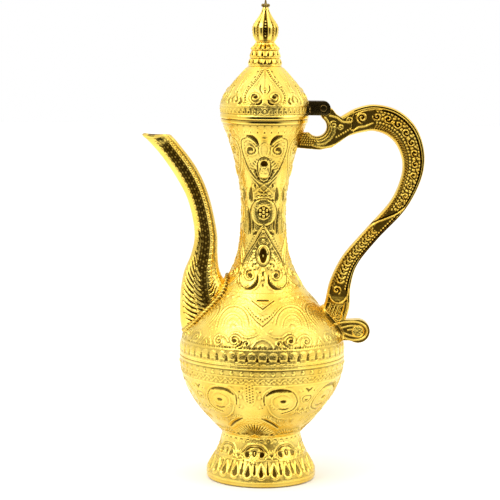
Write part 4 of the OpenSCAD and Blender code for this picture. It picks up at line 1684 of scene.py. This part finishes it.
@dataclass
class Spout:
    """The curved spout: two cast halves, with a sunk panel between bead rows on each face.

    Attributes:
        stations: For each section, the outer edge beyond the belly and above the seam, the inner
            edge the same way, and the half depth, in millimetres, from the lip down to the root.
        wall: Thickness of the halves.
        rows: Mesh rows along the spout.
        columns: Mesh columns from the outer edge round one face to the inner edge.
        bead_pitch: Spacing of the beads along the spout.
        panel_w: Half width of the sunk panel at the lip, as a share of the spout's.
        panel_deep: How deep it is sunk.
        rope_at: x and z of the middle of the rope round the root.
        rope_lean_deg: The rope's turn away from level.
        rope_half: Half the rope's length up the slope.
        rope_r: The radius of its round ends.
        strand_r: The radius of its strands.
    """

    stations: tuple[tuple[float, float, float, float, float], ...] = (
        (25.9, 145.8, 7, 145.8, 6.3), (14.4, 133.7, 2.6, 141.4, 6.5), (3, 117.5, -10.2, 124.6, 6.5),
        (-5.1, 101.4, -18.5, 106.3, 6.8), (-9.2, 81, -24.2, 82, 7.2), (-7.1, 67, -24.9, 66, 8.4),
        (-1.8, 52.8, -26.4, 55.5, 10.8), (0.3, 34, -31, 47, 13), (-1.6, 15, -39, 39, 14),
        (-12, 0, -49, 26, 14),
    )
    wall: float = 1.4
    rows: int = 360
    columns: int = 96
    bead_pitch: float = 4.1
    panel_w: float = 0.47
    panel_deep: float = 0.55
    rope_at: Point = (-38.7, 118.5)
    rope_lean_deg: float = -49.0
    rope_half: float = 23.4
    rope_r: float = 15.8
    strand_r: float = 1.3

    def build(self, shape: BodyShape, finishes: Finishes) -> None:
        """Builds both halves, the flange and the rope round the root, and hands them over.

        Args:
            shape: The body's outline.
            finishes: The pot's finishes.
        """
        line = self._line(shape)
        for side, word in ((-1, "front"), (1, "rear")):
            piece = self._half(line, side, word)
            hand_over(piece, Body.POT, finishes.spout, [f"spout_{word}_half"])
        flange = Softened("spout_flange", "spout_flange_plate", 0.5, Body.POT, "gold_spout")
        flange.build(finishes.chased)
        hand_over(self._rope(shape), Body.POT, finishes.handle)

    def _line(self, shape: BodyShape) -> np.ndarray:
        """Returns evenly spaced sections: outer x, outer z, inner x, inner z and half depth.

        Args:
            shape: The body's outline.
        """
        r, z = shape.belly_r, shape.seam_z
        sections = smooth(
            [(-r - xo, z + zo, -r - xi, z + zi, deep) for xo, zo, xi, zi, deep in self.stations], 12
        )
        run = lengths((sections[:, 0:2] + sections[:, 2:4]) / 2)
        spots = np.linspace(0, run[-1], self.rows)
        return np.stack([spots, *(np.interp(spots, run, column) for column in sections.T)], axis=1)

    def _half(self, line: np.ndarray, side: int, word: str) -> bpy.types.Object:
        """Builds one half of the shell.

        Args:
            line: The sections, each after its distance from the lip.
            side: -1 for the front and 1 for the rear.
            word: The half's name.

        Returns:
            The finished half.
        """
        run, outer, inner, depth = line[:, 0], line[:, 1:3], line[:, 3:5], line[:, 5:6]
        middle, away = (outer + inner) / 2, inner - outer
        half = np.linalg.norm(away, axis=1)[:, None] / 2
        away /= 2 * half
        turn = np.linspace(0, math.pi, self.columns)
        share = np.repeat(-np.cos(turn)[None, :], self.rows, axis=0)
        bulge = np.repeat(np.sin(turn)[None, :], self.rows, axis=0)
        across = share * half
        relief = Relief(across, np.repeat(run[:, None], self.columns, axis=1), lambda z: z)
        self._chase(relief, run, half[:, 0])
        edge = self.panel_w * self._narrowing(run)[:, None]
        panel = np.clip((edge - np.abs(share + 0.02)) / 0.07, 0, 1)
        panel *= np.clip((run - 5.0) / 4.0, 0, 1)[:, None]
        lift = relief.h - self.panel_deep * panel
        way_y, way_a = bulge / np.maximum(depth, 1), share / half
        size = np.hypot(way_y, way_a)
        y = depth * bulge**0.8 + lift * way_y / size
        a = across + lift * way_a / size
        x, z = (middle[:, k : k + 1] + away[:, k : k + 1] * a for k in (0, 1))
        piece = swept_grid(f"spout_{word}", np.stack([x, side * y, z], axis=2))
        # Painted shade: the sunk panel is darkened as its dark reflection, and the recesses too.
        painted_shade = 0.97 * panel * np.clip(1.25 - relief.h / 0.6, 0, 1)
        vertex_values(piece, "hollow", np.maximum(hollowness(lift, 2, False), painted_shade))
        with edit_mode(piece):
            bpy.ops.mesh.normals_make_consistent(inside=False)
        if sum(face.normal.y * side for face in piece.data.polygons) < 0:
            with edit_mode(piece):
                bpy.ops.mesh.flip_normals()
        apply_modifier(piece, "Cast wall", "SOLIDIFY", thickness=self.wall * MM, offset=-1.0)
        smooth_shading(piece, 60)
        return piece

    @staticmethod
    def _narrowing(run: np.ndarray) -> np.ndarray:
        """Returns the sunk panel's share of its full width at each distance from the lip."""
        return np.interp(run, [0, 84, 118, 134], [1.0, 0.94, 0.62, 0.5])

    def _chase(self, r: Relief, run: np.ndarray, half: np.ndarray) -> None:
        """Draws the bead rows, the sunk panel and the leaves that fan out at the root.

        Args:
            r: The relief to draw on.
            run: Each section's distance from the lip.
            half: Each section's half width.
        """
        step = self.bead_pitch / 2
        for s in np.arange(6.0, run[-1] - 6, self.bead_pitch):
            h, wide = float(np.interp(s, run, half)), float(self._narrowing(s))
            size = 1.7 + 0.006 * s
            edge = 0.56 * (0.3 + 0.7 * wide) * h
            r.dome((edge, s), size, 1.3 * size, 0.75, 25)
            r.dome((edge, s + step), 0.8 * size, size, 0.6, 25)
            if s < 88:
                r.dome((-0.48 * h, s), 1.5, 2.4, 0.6, -25)
            for out, late in ((-0.24 * wide, 0.0), (0.02, 0.5), (0.26 * wide, 0.0)):
                r.dome((out * h, s + late * step), 0.9 + 0.05 * h, 1.4, 0.36)
                r.dome((out * h, s + (late + 1) * step), 0.7 + 0.05 * h, 1.0, 0.22)
        for s in np.arange(76, run[-1] - 4, 3.1):
            h = float(np.interp(s, run, half))
            reach = float(np.interp(s, [76, 112, 140], [0.58, 0.8, 0.7])) * h
            root = 0.40 * float(self._narrowing(s)) * h
            middle = (root + reach) / 2
            r.stroke([(-root, s + 3.6), (-middle, s + 0.2), (-reach, s - 5.4)], 1.5, -1.1, 0.9)
            if s > 96:
                inner = [(-0.04 * h, s + 5.0), (-0.2 * h, s + 2.4), (-0.34 * h, s - 1.2)]
                r.stroke(inner, 1.2, 0.7, 0.8)
            if s > 108:
                far = 0.6 * h
                middle = (root + far) / 2
                r.stroke([(root, s + 3.2), (middle, s + 1.4), (far, s - 3.0)], 1.2, -0.9, 0.85)
        r.line(np.stack([0.82 * half[::6], run[::6]], axis=1), 1.0, 0.4)
        r.line(np.array([(-half[0], 1.2), (half[0], 1.2)]), 1.6, 0.35)

    def _rope(self, shape: BodyShape) -> bpy.types.Object:
        """Builds the twisted rope that covers the joint between the spout and the body.

        Args:
            shape: The body's outline, on which the rope lies.

        Returns:
            The rope, one mesh of many short strands.
        """
        spots = self._rope_line(shape)
        bpy.ops.object.select_all(action="DESELECT")
        strands = [self._strand(a, b) for a, b in zip(spots, np.roll(spots, -1, axis=0))]
        for strand in strands:
            strand.select_set(True)
        bpy.context.view_layer.objects.active = strands[0]
        bpy.ops.object.join()
        rope = bpy.context.object
        rope.name = rope.data.name = "spout_rope"
        rope.matrix_world = Matrix.Identity(4)
        smooth_shading(rope, 60)
        return rope

    def _rope_line(self, shape: BodyShape) -> np.ndarray:
        """Lays the flange's outline on the body.

        Args:
            shape: The body's outline.

        Returns:
            The places of the strands in millimetres.
        """
        outline = even(shape.upper(), 1.0)
        lean, r = math.radians(self.rope_lean_deg), self.rope_r
        lie = np.array([math.cos(lean), -math.sin(lean)])
        out = np.array([math.cos(lean + math.pi / 2), -math.sin(lean + math.pi / 2)])
        straight = self.rope_half - r
        turn = np.linspace(0, 2 * math.pi, 73)[:-1]
        along = np.clip(self.rope_half * 1.25 * np.cos(turn), -straight,
                        straight) + r * np.cos(turn)
        steps = np.arange(-16, 16, 0.25)
        spots = []
        for a, y in zip(along, r * np.sin(turn)):
            flat = np.array(self.rope_at) + lie * a
            x, z = flat[:, None] + out[:, None] * steps
            gap = np.abs(np.hypot(x, y) - np.interp(z, outline[:, 1], outline[:, 0]))
            x, z = flat + out * (steps[np.argmin(gap)] - 0.6)
            spots.append((x, y, z))
        return even(np.array(spots + spots[:1]), 2.3)[:-1]

    def _strand(self, here: np.ndarray, there: np.ndarray) -> bpy.types.Object:
        """Makes one slanting strand of the rope.

        Args:
            here: Its place in millimetres.
            there: The next strand's place.

        Returns:
            The strand.
        """
        size = self.strand_r * MM
        bpy.ops.mesh.primitive_uv_sphere_add(segments=10, ring_count=6, radius=size)
        strand = bpy.context.object
        lies = coordinates(strand) / size
        # Painted shade: each strand darkens towards its flanks, between it and its neighbours.
        vertex_values(strand, "hollow", np.clip(1.5 * np.abs(lies[:, 1]) - 0.45, 0, 1))
        way = Vector(there - here).normalized()
        outward = Vector((here[0], here[1], 0)).normalized()
        side = way.cross(outward).normalized()
        slant = (way * 0.75 + side * 0.65).normalized()
        up = slant.cross(outward).normalized()
        turn = Matrix((slant, up, slant.cross(up))).transposed().to_4x4()
        scale = Matrix.Diagonal((1.7, 1.0, 1.15, 1.0))
        strand.data.transform(Matrix.Translation(Vector(here) * MM) @ turn @ scale)
        return strand


# ---- Handle and hinge ----------------------------------------------------------------------------


@dataclass
class Handle:
    """The scrolled handle: a grip with sunk faces between rails, its bracket and thumb curl.

    Attributes:
        stations: For each section, x and z of its middle and its width, in millimetres, from the
            bracket round to the lower pad.
        thickness: Of the casting.
        rows: Mesh rows along the grip.
        columns: Mesh columns round it.
        grip: Where the grip starts and ends, along its line from the bracket.
        corner: How square its section is, as the power of a superellipse.
        face_deep: How deep its faces lie between the rails.
        panel_end: Where the painted shade on the ground of the faces ends.
        groove_at: Where the groove between the outer rails runs, as a share of the half width.
    """

    stations: tuple[tuple[float, float, float], ...] = (
        (43.8, 233, 13.5), (53.2, 236.6, 14), (62.7, 240.6, 16.5), (72.8, 242.3, 17.5), (84.6, 239,
                                                                                         18),
        (94, 230, 17.2), (98.7, 216, 15.2), (97.1, 201.4, 13.2), (88.7, 184, 11.4), (72.1, 165.2,
                                                                                     10.4),
        (58, 147.6, 11.5), (51.6, 131.4, 14.5), (49.4, 116, 17), (44, 104, 18),
    )
    thickness: float = 9.5
    rows: int = 520
    columns: int = 128
    grip: tuple[float, float] = (10.0, 213.0)
    corner: float = 5.88
    face_deep: float = 0.9
    panel_end: float = 181.0
    groove_at: float = 0.865

    def build(self, finishes: Finishes) -> None:
        """Builds the grip, the bracket and the thumb rest and hands them over.

        Args:
            finishes: The pot's finishes.
        """
        bracket = self._cast_end(
            "handle_bracket", ((59.0, 0, 226.0), (1, 0, 0)), ((0, 0, 213.0), (0, 0, -1))
        )
        self._press(bracket, self._chase_bracket)
        curl = self._cast_end("handle_thumb_curl", ((0, 0, 119.5), (0, 0, 1)))
        self._press(curl, self._chase_curl)
        for piece in (self._grip(), bracket, curl):
            hand_over(piece, Body.POT, finishes.handle, ["handle"])

    def _grip(self) -> bpy.types.Object:
        """Sweeps the grip's section along its line, with the relief on both faces.

        Returns:
            The finished grip.
        """
        line = smooth(self.stations, 12)
        run = lengths(line[:, :2])
        spots = np.linspace(self.grip[0], min(self.grip[1], run[-1] - 6), self.rows)
        x, z, width = (np.interp(spots, run, column) for column in line.T)
        way = np.gradient(np.stack([x, z], axis=1), axis=0)
        way /= np.linalg.norm(way, axis=1)[:, None]
        # The section is a box with rounded corners, cut at even steps of the cosine.
        turn = np.linspace(0, 2 * math.pi, self.columns + 1)[:-1]
        across = np.cos(turn)
        deep = np.sign(np.sin(turn)) * np.clip(1 - np.abs(across) ** self.corner, 0, 1) ** 0.25
        q = np.repeat(across[None, :], self.rows, axis=0)
        u = q * width[:, None] / 2
        v = np.repeat(spots[:, None], self.columns, axis=1)
        relief = Relief(u, v, lambda height: height)
        self._chase_grip(relief, spots, width)
        face = np.clip((np.abs(deep) - 0.35) / 0.3, 0, 1)[None, :]
        y = deep * (self.thickness / 2) + np.sign(deep) * (relief.h - self.face_deep) * face
        edge = u * (1 - 0.02 * face)
        grid = np.stack([x[:, None] - way[:, 1:] * edge, y, z[:, None] + way[:, :1] * edge], axis=2)
        piece = swept_grid("handle_grip", np.concatenate([grid, grid[:, :1]], axis=1))
        # Painted shade: the ground of the faces and the groove between the outer rails are
        # darkened, and the recesses too.
        ground = np.clip((0.72 - q) / 0.04, 0, 1) * np.clip((q + 0.84) / 0.06, 0, 1)
        ground *= np.clip((self.panel_end - spots) / 3, 0, 1)[:, None]
        groove = np.clip(1.3 - np.abs(q - self.groove_at) / 0.035, 0, 1)
        painted_shade = 0.9 * np.maximum(ground, groove) * np.clip(1 - relief.h / 0.55, 0, 1)
        hollow = np.maximum(hollowness(relief.h, 3), painted_shade) * face
        vertex_values(piece, "hollow", np.concatenate([hollow, hollow[:, :1]], axis=1))
        with edit_mode(piece):
            bpy.ops.mesh.remove_doubles(threshold=0.004 * MM)
            bpy.ops.mesh.select_all(action="DESELECT")
            bpy.ops.mesh.select_non_manifold()
            bpy.ops.mesh.fill_holes(sides=0)
            close_up(0.004)
        smooth_shading(piece, 60)
        return piece

    def _chase_grip(self, r: Relief, run: np.ndarray, width: np.ndarray) -> None:
        """Draws the rails, the vine scrolls and the leaf ladder of the grip.

        Args:
            r: The relief to draw on.
            run: Each section's distance along the grip.
            width: Each section's width.
        """

        def rail(share: float, low: float, high: float, wide: float, amount: float) -> None:
            """Draws a rail at a share of the half width, from one distance to another."""
            spots = np.arange(low, high, 2.0)
            r.line(np.stack([share * np.interp(spots, run, width) / 2, spots], axis=1), wide,
                   amount)

        end = float(run[-1])
        for share, wide, amount in ((0.95, 1.0, 1.0), (0.78, 1.1, 1.0), (-0.90, 1.5, 1.0),
                                    (0.865, 0.7, -1.0)):
            rail(share, run[0], end, wide, amount)
        rail(0.66, 30.0, 176.0, 0.9, -0.9)
        for s in np.arange(run[0] + 22, 174, 2.1):
            h = float(np.interp(s, run, width)) / 2
            r.dome((0.52 * h, s), 1.1, 1.4, 0.7)
            r.leaf((-0.84 * h, s - 1.6), (-0.48 * h, s + 1.0), 1.3, 0.8)
        # A chain of scrolls and jewels between the leaves, from the bracket to the narrow part.
        for k, s in enumerate(np.arange(32.0, 110, 7.2)):
            h = float(np.interp(s, run, width)) / 2
            r.curl((0.14 * h, s), 0.33 * h, 90 if k % 2 else 270, 1.3 if k % 2 else -1.3, 1.1, 0.95)
            r.dome((0.02 * h, s + 3.7), 2.0, 1.7, 0.85)
            r.dome((0.34 * h, s + 3.4), 1.3, 2.2, 0.75, -35)
            for step in (0.4, 2.8, 5.2):
                r.dome((-0.32 * h, s + step), 1.4, 1.6, 0.7, 30 if k % 2 else -30)
        # Three scrolls where the grip leaves the bracket, each larger than the last.
        r.curl((1.4, 22.4), 3.7, 200, 1.5, 1.4, 1.0)
        r.curl((2.6, 14.6), 2.5, 200, 1.4, 1.2, 0.95)
        r.stroke([(4.6, 19.2), (5.4, 23.2), (5.6, 28.0), (6.0, 34.0)], 1.1, 0.9, 0.3)
        r.stroke([(-5.6, 12.0), (-4.2, 17.4), (-4.6, 23.6), (-3.4, 29.6)], 1.2, 0.8, 0.4)
        # The rail that crosses over where the two faces meet.
        cross = np.array([(0.78, 104.0), (0.46, 110.0), (-0.14, 117.0), (-0.66, 123.0),
                          (-0.90, 129.0)])
        cross[:, 0] *= np.interp(cross[:, 1], run, width) / 2
        line = r.stroke(cross, 1.3, 1.0)
        r.line(beside(line, 1.1), 0.8, -0.9)
        # Ladder of small hooks down the narrow part, closed by a scroll.
        for s in np.arange(128, 170, 3.1):
            h = float(np.interp(s, run, width)) / 2
            r.stroke([(-0.46 * h, s - 0.8), (-0.30 * h, s + 1.0), (0.06 * h, s + 0.9),
                      (0.24 * h, s - 0.6)], 1.2, 0.85)
            r.dome((-0.06 * h, s - 0.6), 1.0, 1.0, 0.6)
        r.curl((-1.6, 174.4), 2.9, 60, -1.3, 1.3, 0.95)
        tip = float(np.interp(180, run, width)) / 2
        r.stroke([(0.78 * tip, 172), (0.74 * tip, 178), (0.3 * tip, 182.4), (-0.4 * tip, 182.4),
                  (-0.86 * tip, 177)],
                 1.2, 1.0)
        for k in range(5):
            r.stroke([((-0.6 + 0.26 * k) * tip, 184.5), ((-0.7 + 0.3 * k) * tip, end - 1)], 0.9,
                     -0.7, 0.6)

    @staticmethod
    def _cast_end(name: str, *cuts: tuple[Sequence[float], Sequence[float]]) -> bpy.types.Object:
        """Cuts an end off the handle's casting and rounds it like a worn casting.

        Args:
            name: The new piece's name.
            cuts: For each cut, a point of it in millimetres and the side that is cut away.

        Returns:
            The rounded end.
        """
        piece = node_copy("handle", name)
        for spot, side in cuts:
            with edit_mode(piece):
                at = [c * MM for c in spot]
                bpy.ops.mesh.bisect(plane_co=at, plane_no=side, use_fill=True, clear_outer=True)
        worn_skin(piece, 0.34, 6)
        smooth_shading(piece, 60)
        return piece

    @staticmethod
    def _press(piece: bpy.types.Object, draw: Callable[[Relief], None]) -> None:
        """Presses a drawing in x and z into both flat faces of a piece.

        Args:
            piece: The mesh.
            draw: Draws on the relief, whose u is x and whose v is z.
        """
        spots = coordinates(piece) / MM
        relief = Relief(spots[:, 0], spots[:, 2], lambda height: height)
        draw(relief)
        normals = np.empty(len(spots) * 3)
        piece.data.vertices.foreach_get("normal", normals)
        facing = np.clip((np.abs(normals.reshape(-1, 3)[:, 1]) - 0.75) / 0.2, 0, 1)
        facing *= np.abs(spots[:, 1]) > 3.2
        spots[:, 1] += np.sign(spots[:, 1]) * (relief.h - 0.25) * facing
        place_vertices(piece, spots * MM)
        # Painted shade: the flat faces are darkened everywhere except on the raised work.
        vertex_values(piece, "hollow", np.clip(0.9 - 1.3 * relief.h, 0, 1) * facing)

    @staticmethod
    def _chase_bracket(r: Relief) -> None:
        """Draws the bead row and the curls on the bracket.

        Args:
            r: The relief to draw on.
        """
        r.stroke([(31.5, 224.2), (38, 222.6), (46, 224.2), (53, 228.6), (60, 232.8)], 1.2, 0.8)
        r.beads(smooth([(47.5, 229.6), (52.6, 232.6), (58, 236)]), 1.8, 1.2, 0.7)
        r.stroke([(43, 243.6), (47.6, 242.4), (51.4, 239.8), (57, 239.6)], 1.2, 0.8)
        r.curl((50.2, 236.4), 1.9, 200, 1.3, 1.0, 0.8)
        r.curl((45.4, 237.6), 2.5, 60, 1.4, 1.1, 0.8)
        r.ring((34.7, 236.2), 8.0, 1.0, 0.7)
        r.fan((34.7, 236.2), 9.0, 12.8, (-100, 0), 30, 0.8, 0.8)
        for k, z in enumerate(np.arange(224.6, 232.6, 1.5)):
            r.beads(np.array([(24.0 + 0.8 * (k % 2), z), (34.5, z - 0.6)]), 1.6, 1.1, 0.75)

    @staticmethod
    def _chase_curl(r: Relief) -> None:
        """Draws the loops of the thumb rest and the lines that run into it.

        Args:
            r: The relief to draw on.
        """
        outer = [(48, 105.2), (56, 106.2), (63.4, 106.2), (68.4, 103.6), (69.8, 99.6), (67.4, 95.6),
                 (61, 94.2), (51, 96.4)]
        inner = [(53, 102.4), (59.4, 103.8), (64.2, 103.0), (66.6, 100.2), (64.8, 97.2),
                 (59.6, 97.0), (54, 99.0)]
        r.stroke(outer, 1.3, 0.9)
        r.stroke(inner, 1.2, 0.8)
        r.stroke([(57, 100.8), (60.8, 101.4), (63.4, 100.2), (61.2, 99.4)], 1.0, 0.7)
        r.curl((50.2, 109.6), 3.4, 90, -1.5, 1.2, 0.8)
        for k in range(5):
            r.stroke([(43.6 + 1.9 * k, 116.5), (43.0 + 1.7 * k, 112.4)], 0.9, 0.6, 0.5)


@dataclass
class Hinge:
    """The hinge: the lid's leaf with its rivets, and the pin through the handle's ears."""

    parts: tuple[Softened, ...] = (
        Softened("hinge_leaf", "hinge_leaf_cast", 0.35, Body.LID, "gold_hinge"),
        Softened("leaf_rivets", "hinge_leaf_rivets", 0.2, Body.LID, "gold_hinge"),
        Softened("hinge_pin", "hinge_pin_turned", 0.3, Body.POT, "gold_hinge"),
    )

    def build(self, finishes: Finishes) -> None:
        """Softens the leaf, the rivets and the pin and hands them over."""
        # The darkened finish is painted dark reflection on the leaf, the rivets and the pin.
        for part in self.parts:
            part.build(finishes.dark)


@dataclass
class InnerParts:
    """The bought fasteners and the seal, shown as the CAD made them."""

    steel: tuple[str, ...] = (
        "foot_bolt", "foot_washer", "foot_nut", "handle_upper_screw", "handle_lower_screws",
        "handle_screw_washers", "finial_stud", "finial_washer", "finial_nut",
    )
    rubber: tuple[str, ...] = ("foot_seal",)

    def build(self, finishes: Finishes) -> None:
        """Gives each CAD node its material."""
        for names, finish in ((self.steel, finishes.steel), (self.rubber, finishes.rubber)):
            for name in names:
                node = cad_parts[name]
                for holder in node.material_slots:
                    holder.material = finish
                LOG.info("%s: carried over in %s", name, finish.name)


# ---- Studio --------------------------------------------------------------------------------------


@dataclass
class Studio:
    """A pale table in a bright tent, with a dark gap where the camera looks in."""

    eye: tuple[float, float, float] = (-0.0087, -1.3, 0.3135)
    target: tuple[float, float, float] = (-0.0087, 0.0, 0.1535)
    lens: float = 141.6
    tilt_deg: float = 0.55
    floor_colour: str = "F6F6F4"

    def build(self) -> None:
        """Builds the camera, the floor, the surroundings and the lights."""
        self._camera()
        self._floor()
        self._world()
        self._soft_box("Key light", (-0.9, -0.7, 1.3), 1.0, 9.0)
        self._soft_box("Fill light", (1.1, -0.4, 0.9), 0.8, 4.0)
        bpy.context.scene.view_settings.view_transform = "Standard"

    def _camera(self) -> None:
        """Aims the camera, leaning it a little about its own line of sight."""
        data = bpy.data.cameras.new("Camera")
        data.lens, data.sensor_width, data.clip_start = self.lens, 36.0, 0.01
        camera = bpy.data.objects.new("Camera", data)
        bpy.context.scene.collection.objects.link(camera)
        way = Vector(self.target) - Vector(self.eye)
        lean = Matrix.Rotation(math.radians(self.tilt_deg), 3, "Z")
        aim = way.to_track_quat("-Z", "Y").to_matrix() @ lean
        camera.matrix_world = Matrix.Translation(self.eye) @ aim.to_4x4()
        bpy.context.scene.camera = camera

    def _floor(self) -> None:
        """Lays the plain floor under the pot."""
        bpy.ops.object.select_all(action="DESELECT")
        bpy.ops.mesh.primitive_plane_add(size=1.0, location=(0, 0, 0))
        floor = bpy.context.object
        with edit_mode(floor):
            bpy.ops.transform.resize(value=(6.0, 4.45, 1.0))
            bpy.ops.transform.translate(value=(0, 1.775, 0))
        floor.name = floor.data.name = "floor"
        material, g, _ = new_material("Pale matt paper")
        paper = {"Base Color": linear(self.floor_colour), "Roughness": 0.9,
                 "Specular IOR Level": 0.1}
        g.close(g.add("BsdfPrincipled", paper))
        floor.data.materials.append(material)

    @staticmethod
    def _world() -> None:
        """Makes the tent: white all round, with a soft dark gap at the front."""
        world = bpy.data.worlds.new("Tent")
        bpy.context.scene.world = world
        world.use_nodes = True
        g = Graph(world.node_tree)
        way = g.add("TexCoord", {}, "Generated")
        y, z = (g.add("SeparateXYZ", {0: way}, axis) for axis in ("Y", "Z"))
        front = g.ramp(y, (-0.86, -0.56), (1.0, 0.0), smooth=True)
        level = g.ramp(g.math("ABSOLUTE", z), (0.2, 0.55), (1.0, 0.0), smooth=True)
        over = g.ramp(z, (0.2, 0.95), (0.95, 1.4), smooth=True)
        strength = g.ramp(g.math("MULTIPLY", front, level), (0.0, 1.0), (over, 0.02))
        white = (1.0, 1.0, 1.0, 1.0)
        tent = g.add("Background", {"Color": white, "Strength": strength})
        plain = g.add("Background", {"Color": white, "Strength": 1.0})
        seen = g.add("LightPath", {}, "Is Camera Ray")
        g.close(g.add("MixShader", {0: seen, 1: tent, 2: plain}), "OutputWorld")

    @staticmethod
    def _soft_box(name: str, spot: tuple[float, float, float], size: float, power: float) -> None:
        """Hangs a square soft light that faces the pot.

        Args:
            name: The light's name.
            spot: Its place in metres.
            size: Its side in metres.
            power: Its power in watts.
        """
        data = bpy.data.lights.new(name, "AREA")
        data.shape, data.size, data.energy = "SQUARE", size, power
        light = bpy.data.objects.new(name, data)
        way = Vector((0, 0, 0.15)) - Vector(spot)
        aim = way.to_track_quat("-Z", "Y").to_matrix().to_4x4()
        light.matrix_world = Matrix.Translation(spot) @ aim
        bpy.context.scene.collection.objects.link(light)


# ---- Everything ----------------------------------------------------------------------------------


def main() -> None:
    """Builds every sub-assembly in order, then the studio round them."""
    logging.basicConfig(level=logging.INFO, format="%(name)s: %(message)s")
    finishes = Finishes()
    shape = BodyShape()
    UpperBody(shape).build(finishes)
    LowerBody(shape).build(finishes)
    Foot(shape).build(finishes)
    Spout().build(shape, finishes)
    Handle().build(finishes)
    Lid().build(finishes)
    Finial().build(finishes)
    Hinge().build(finishes)
    InnerParts().build(finishes)
    Studio().build()


if __name__ == "__main__":
    main()
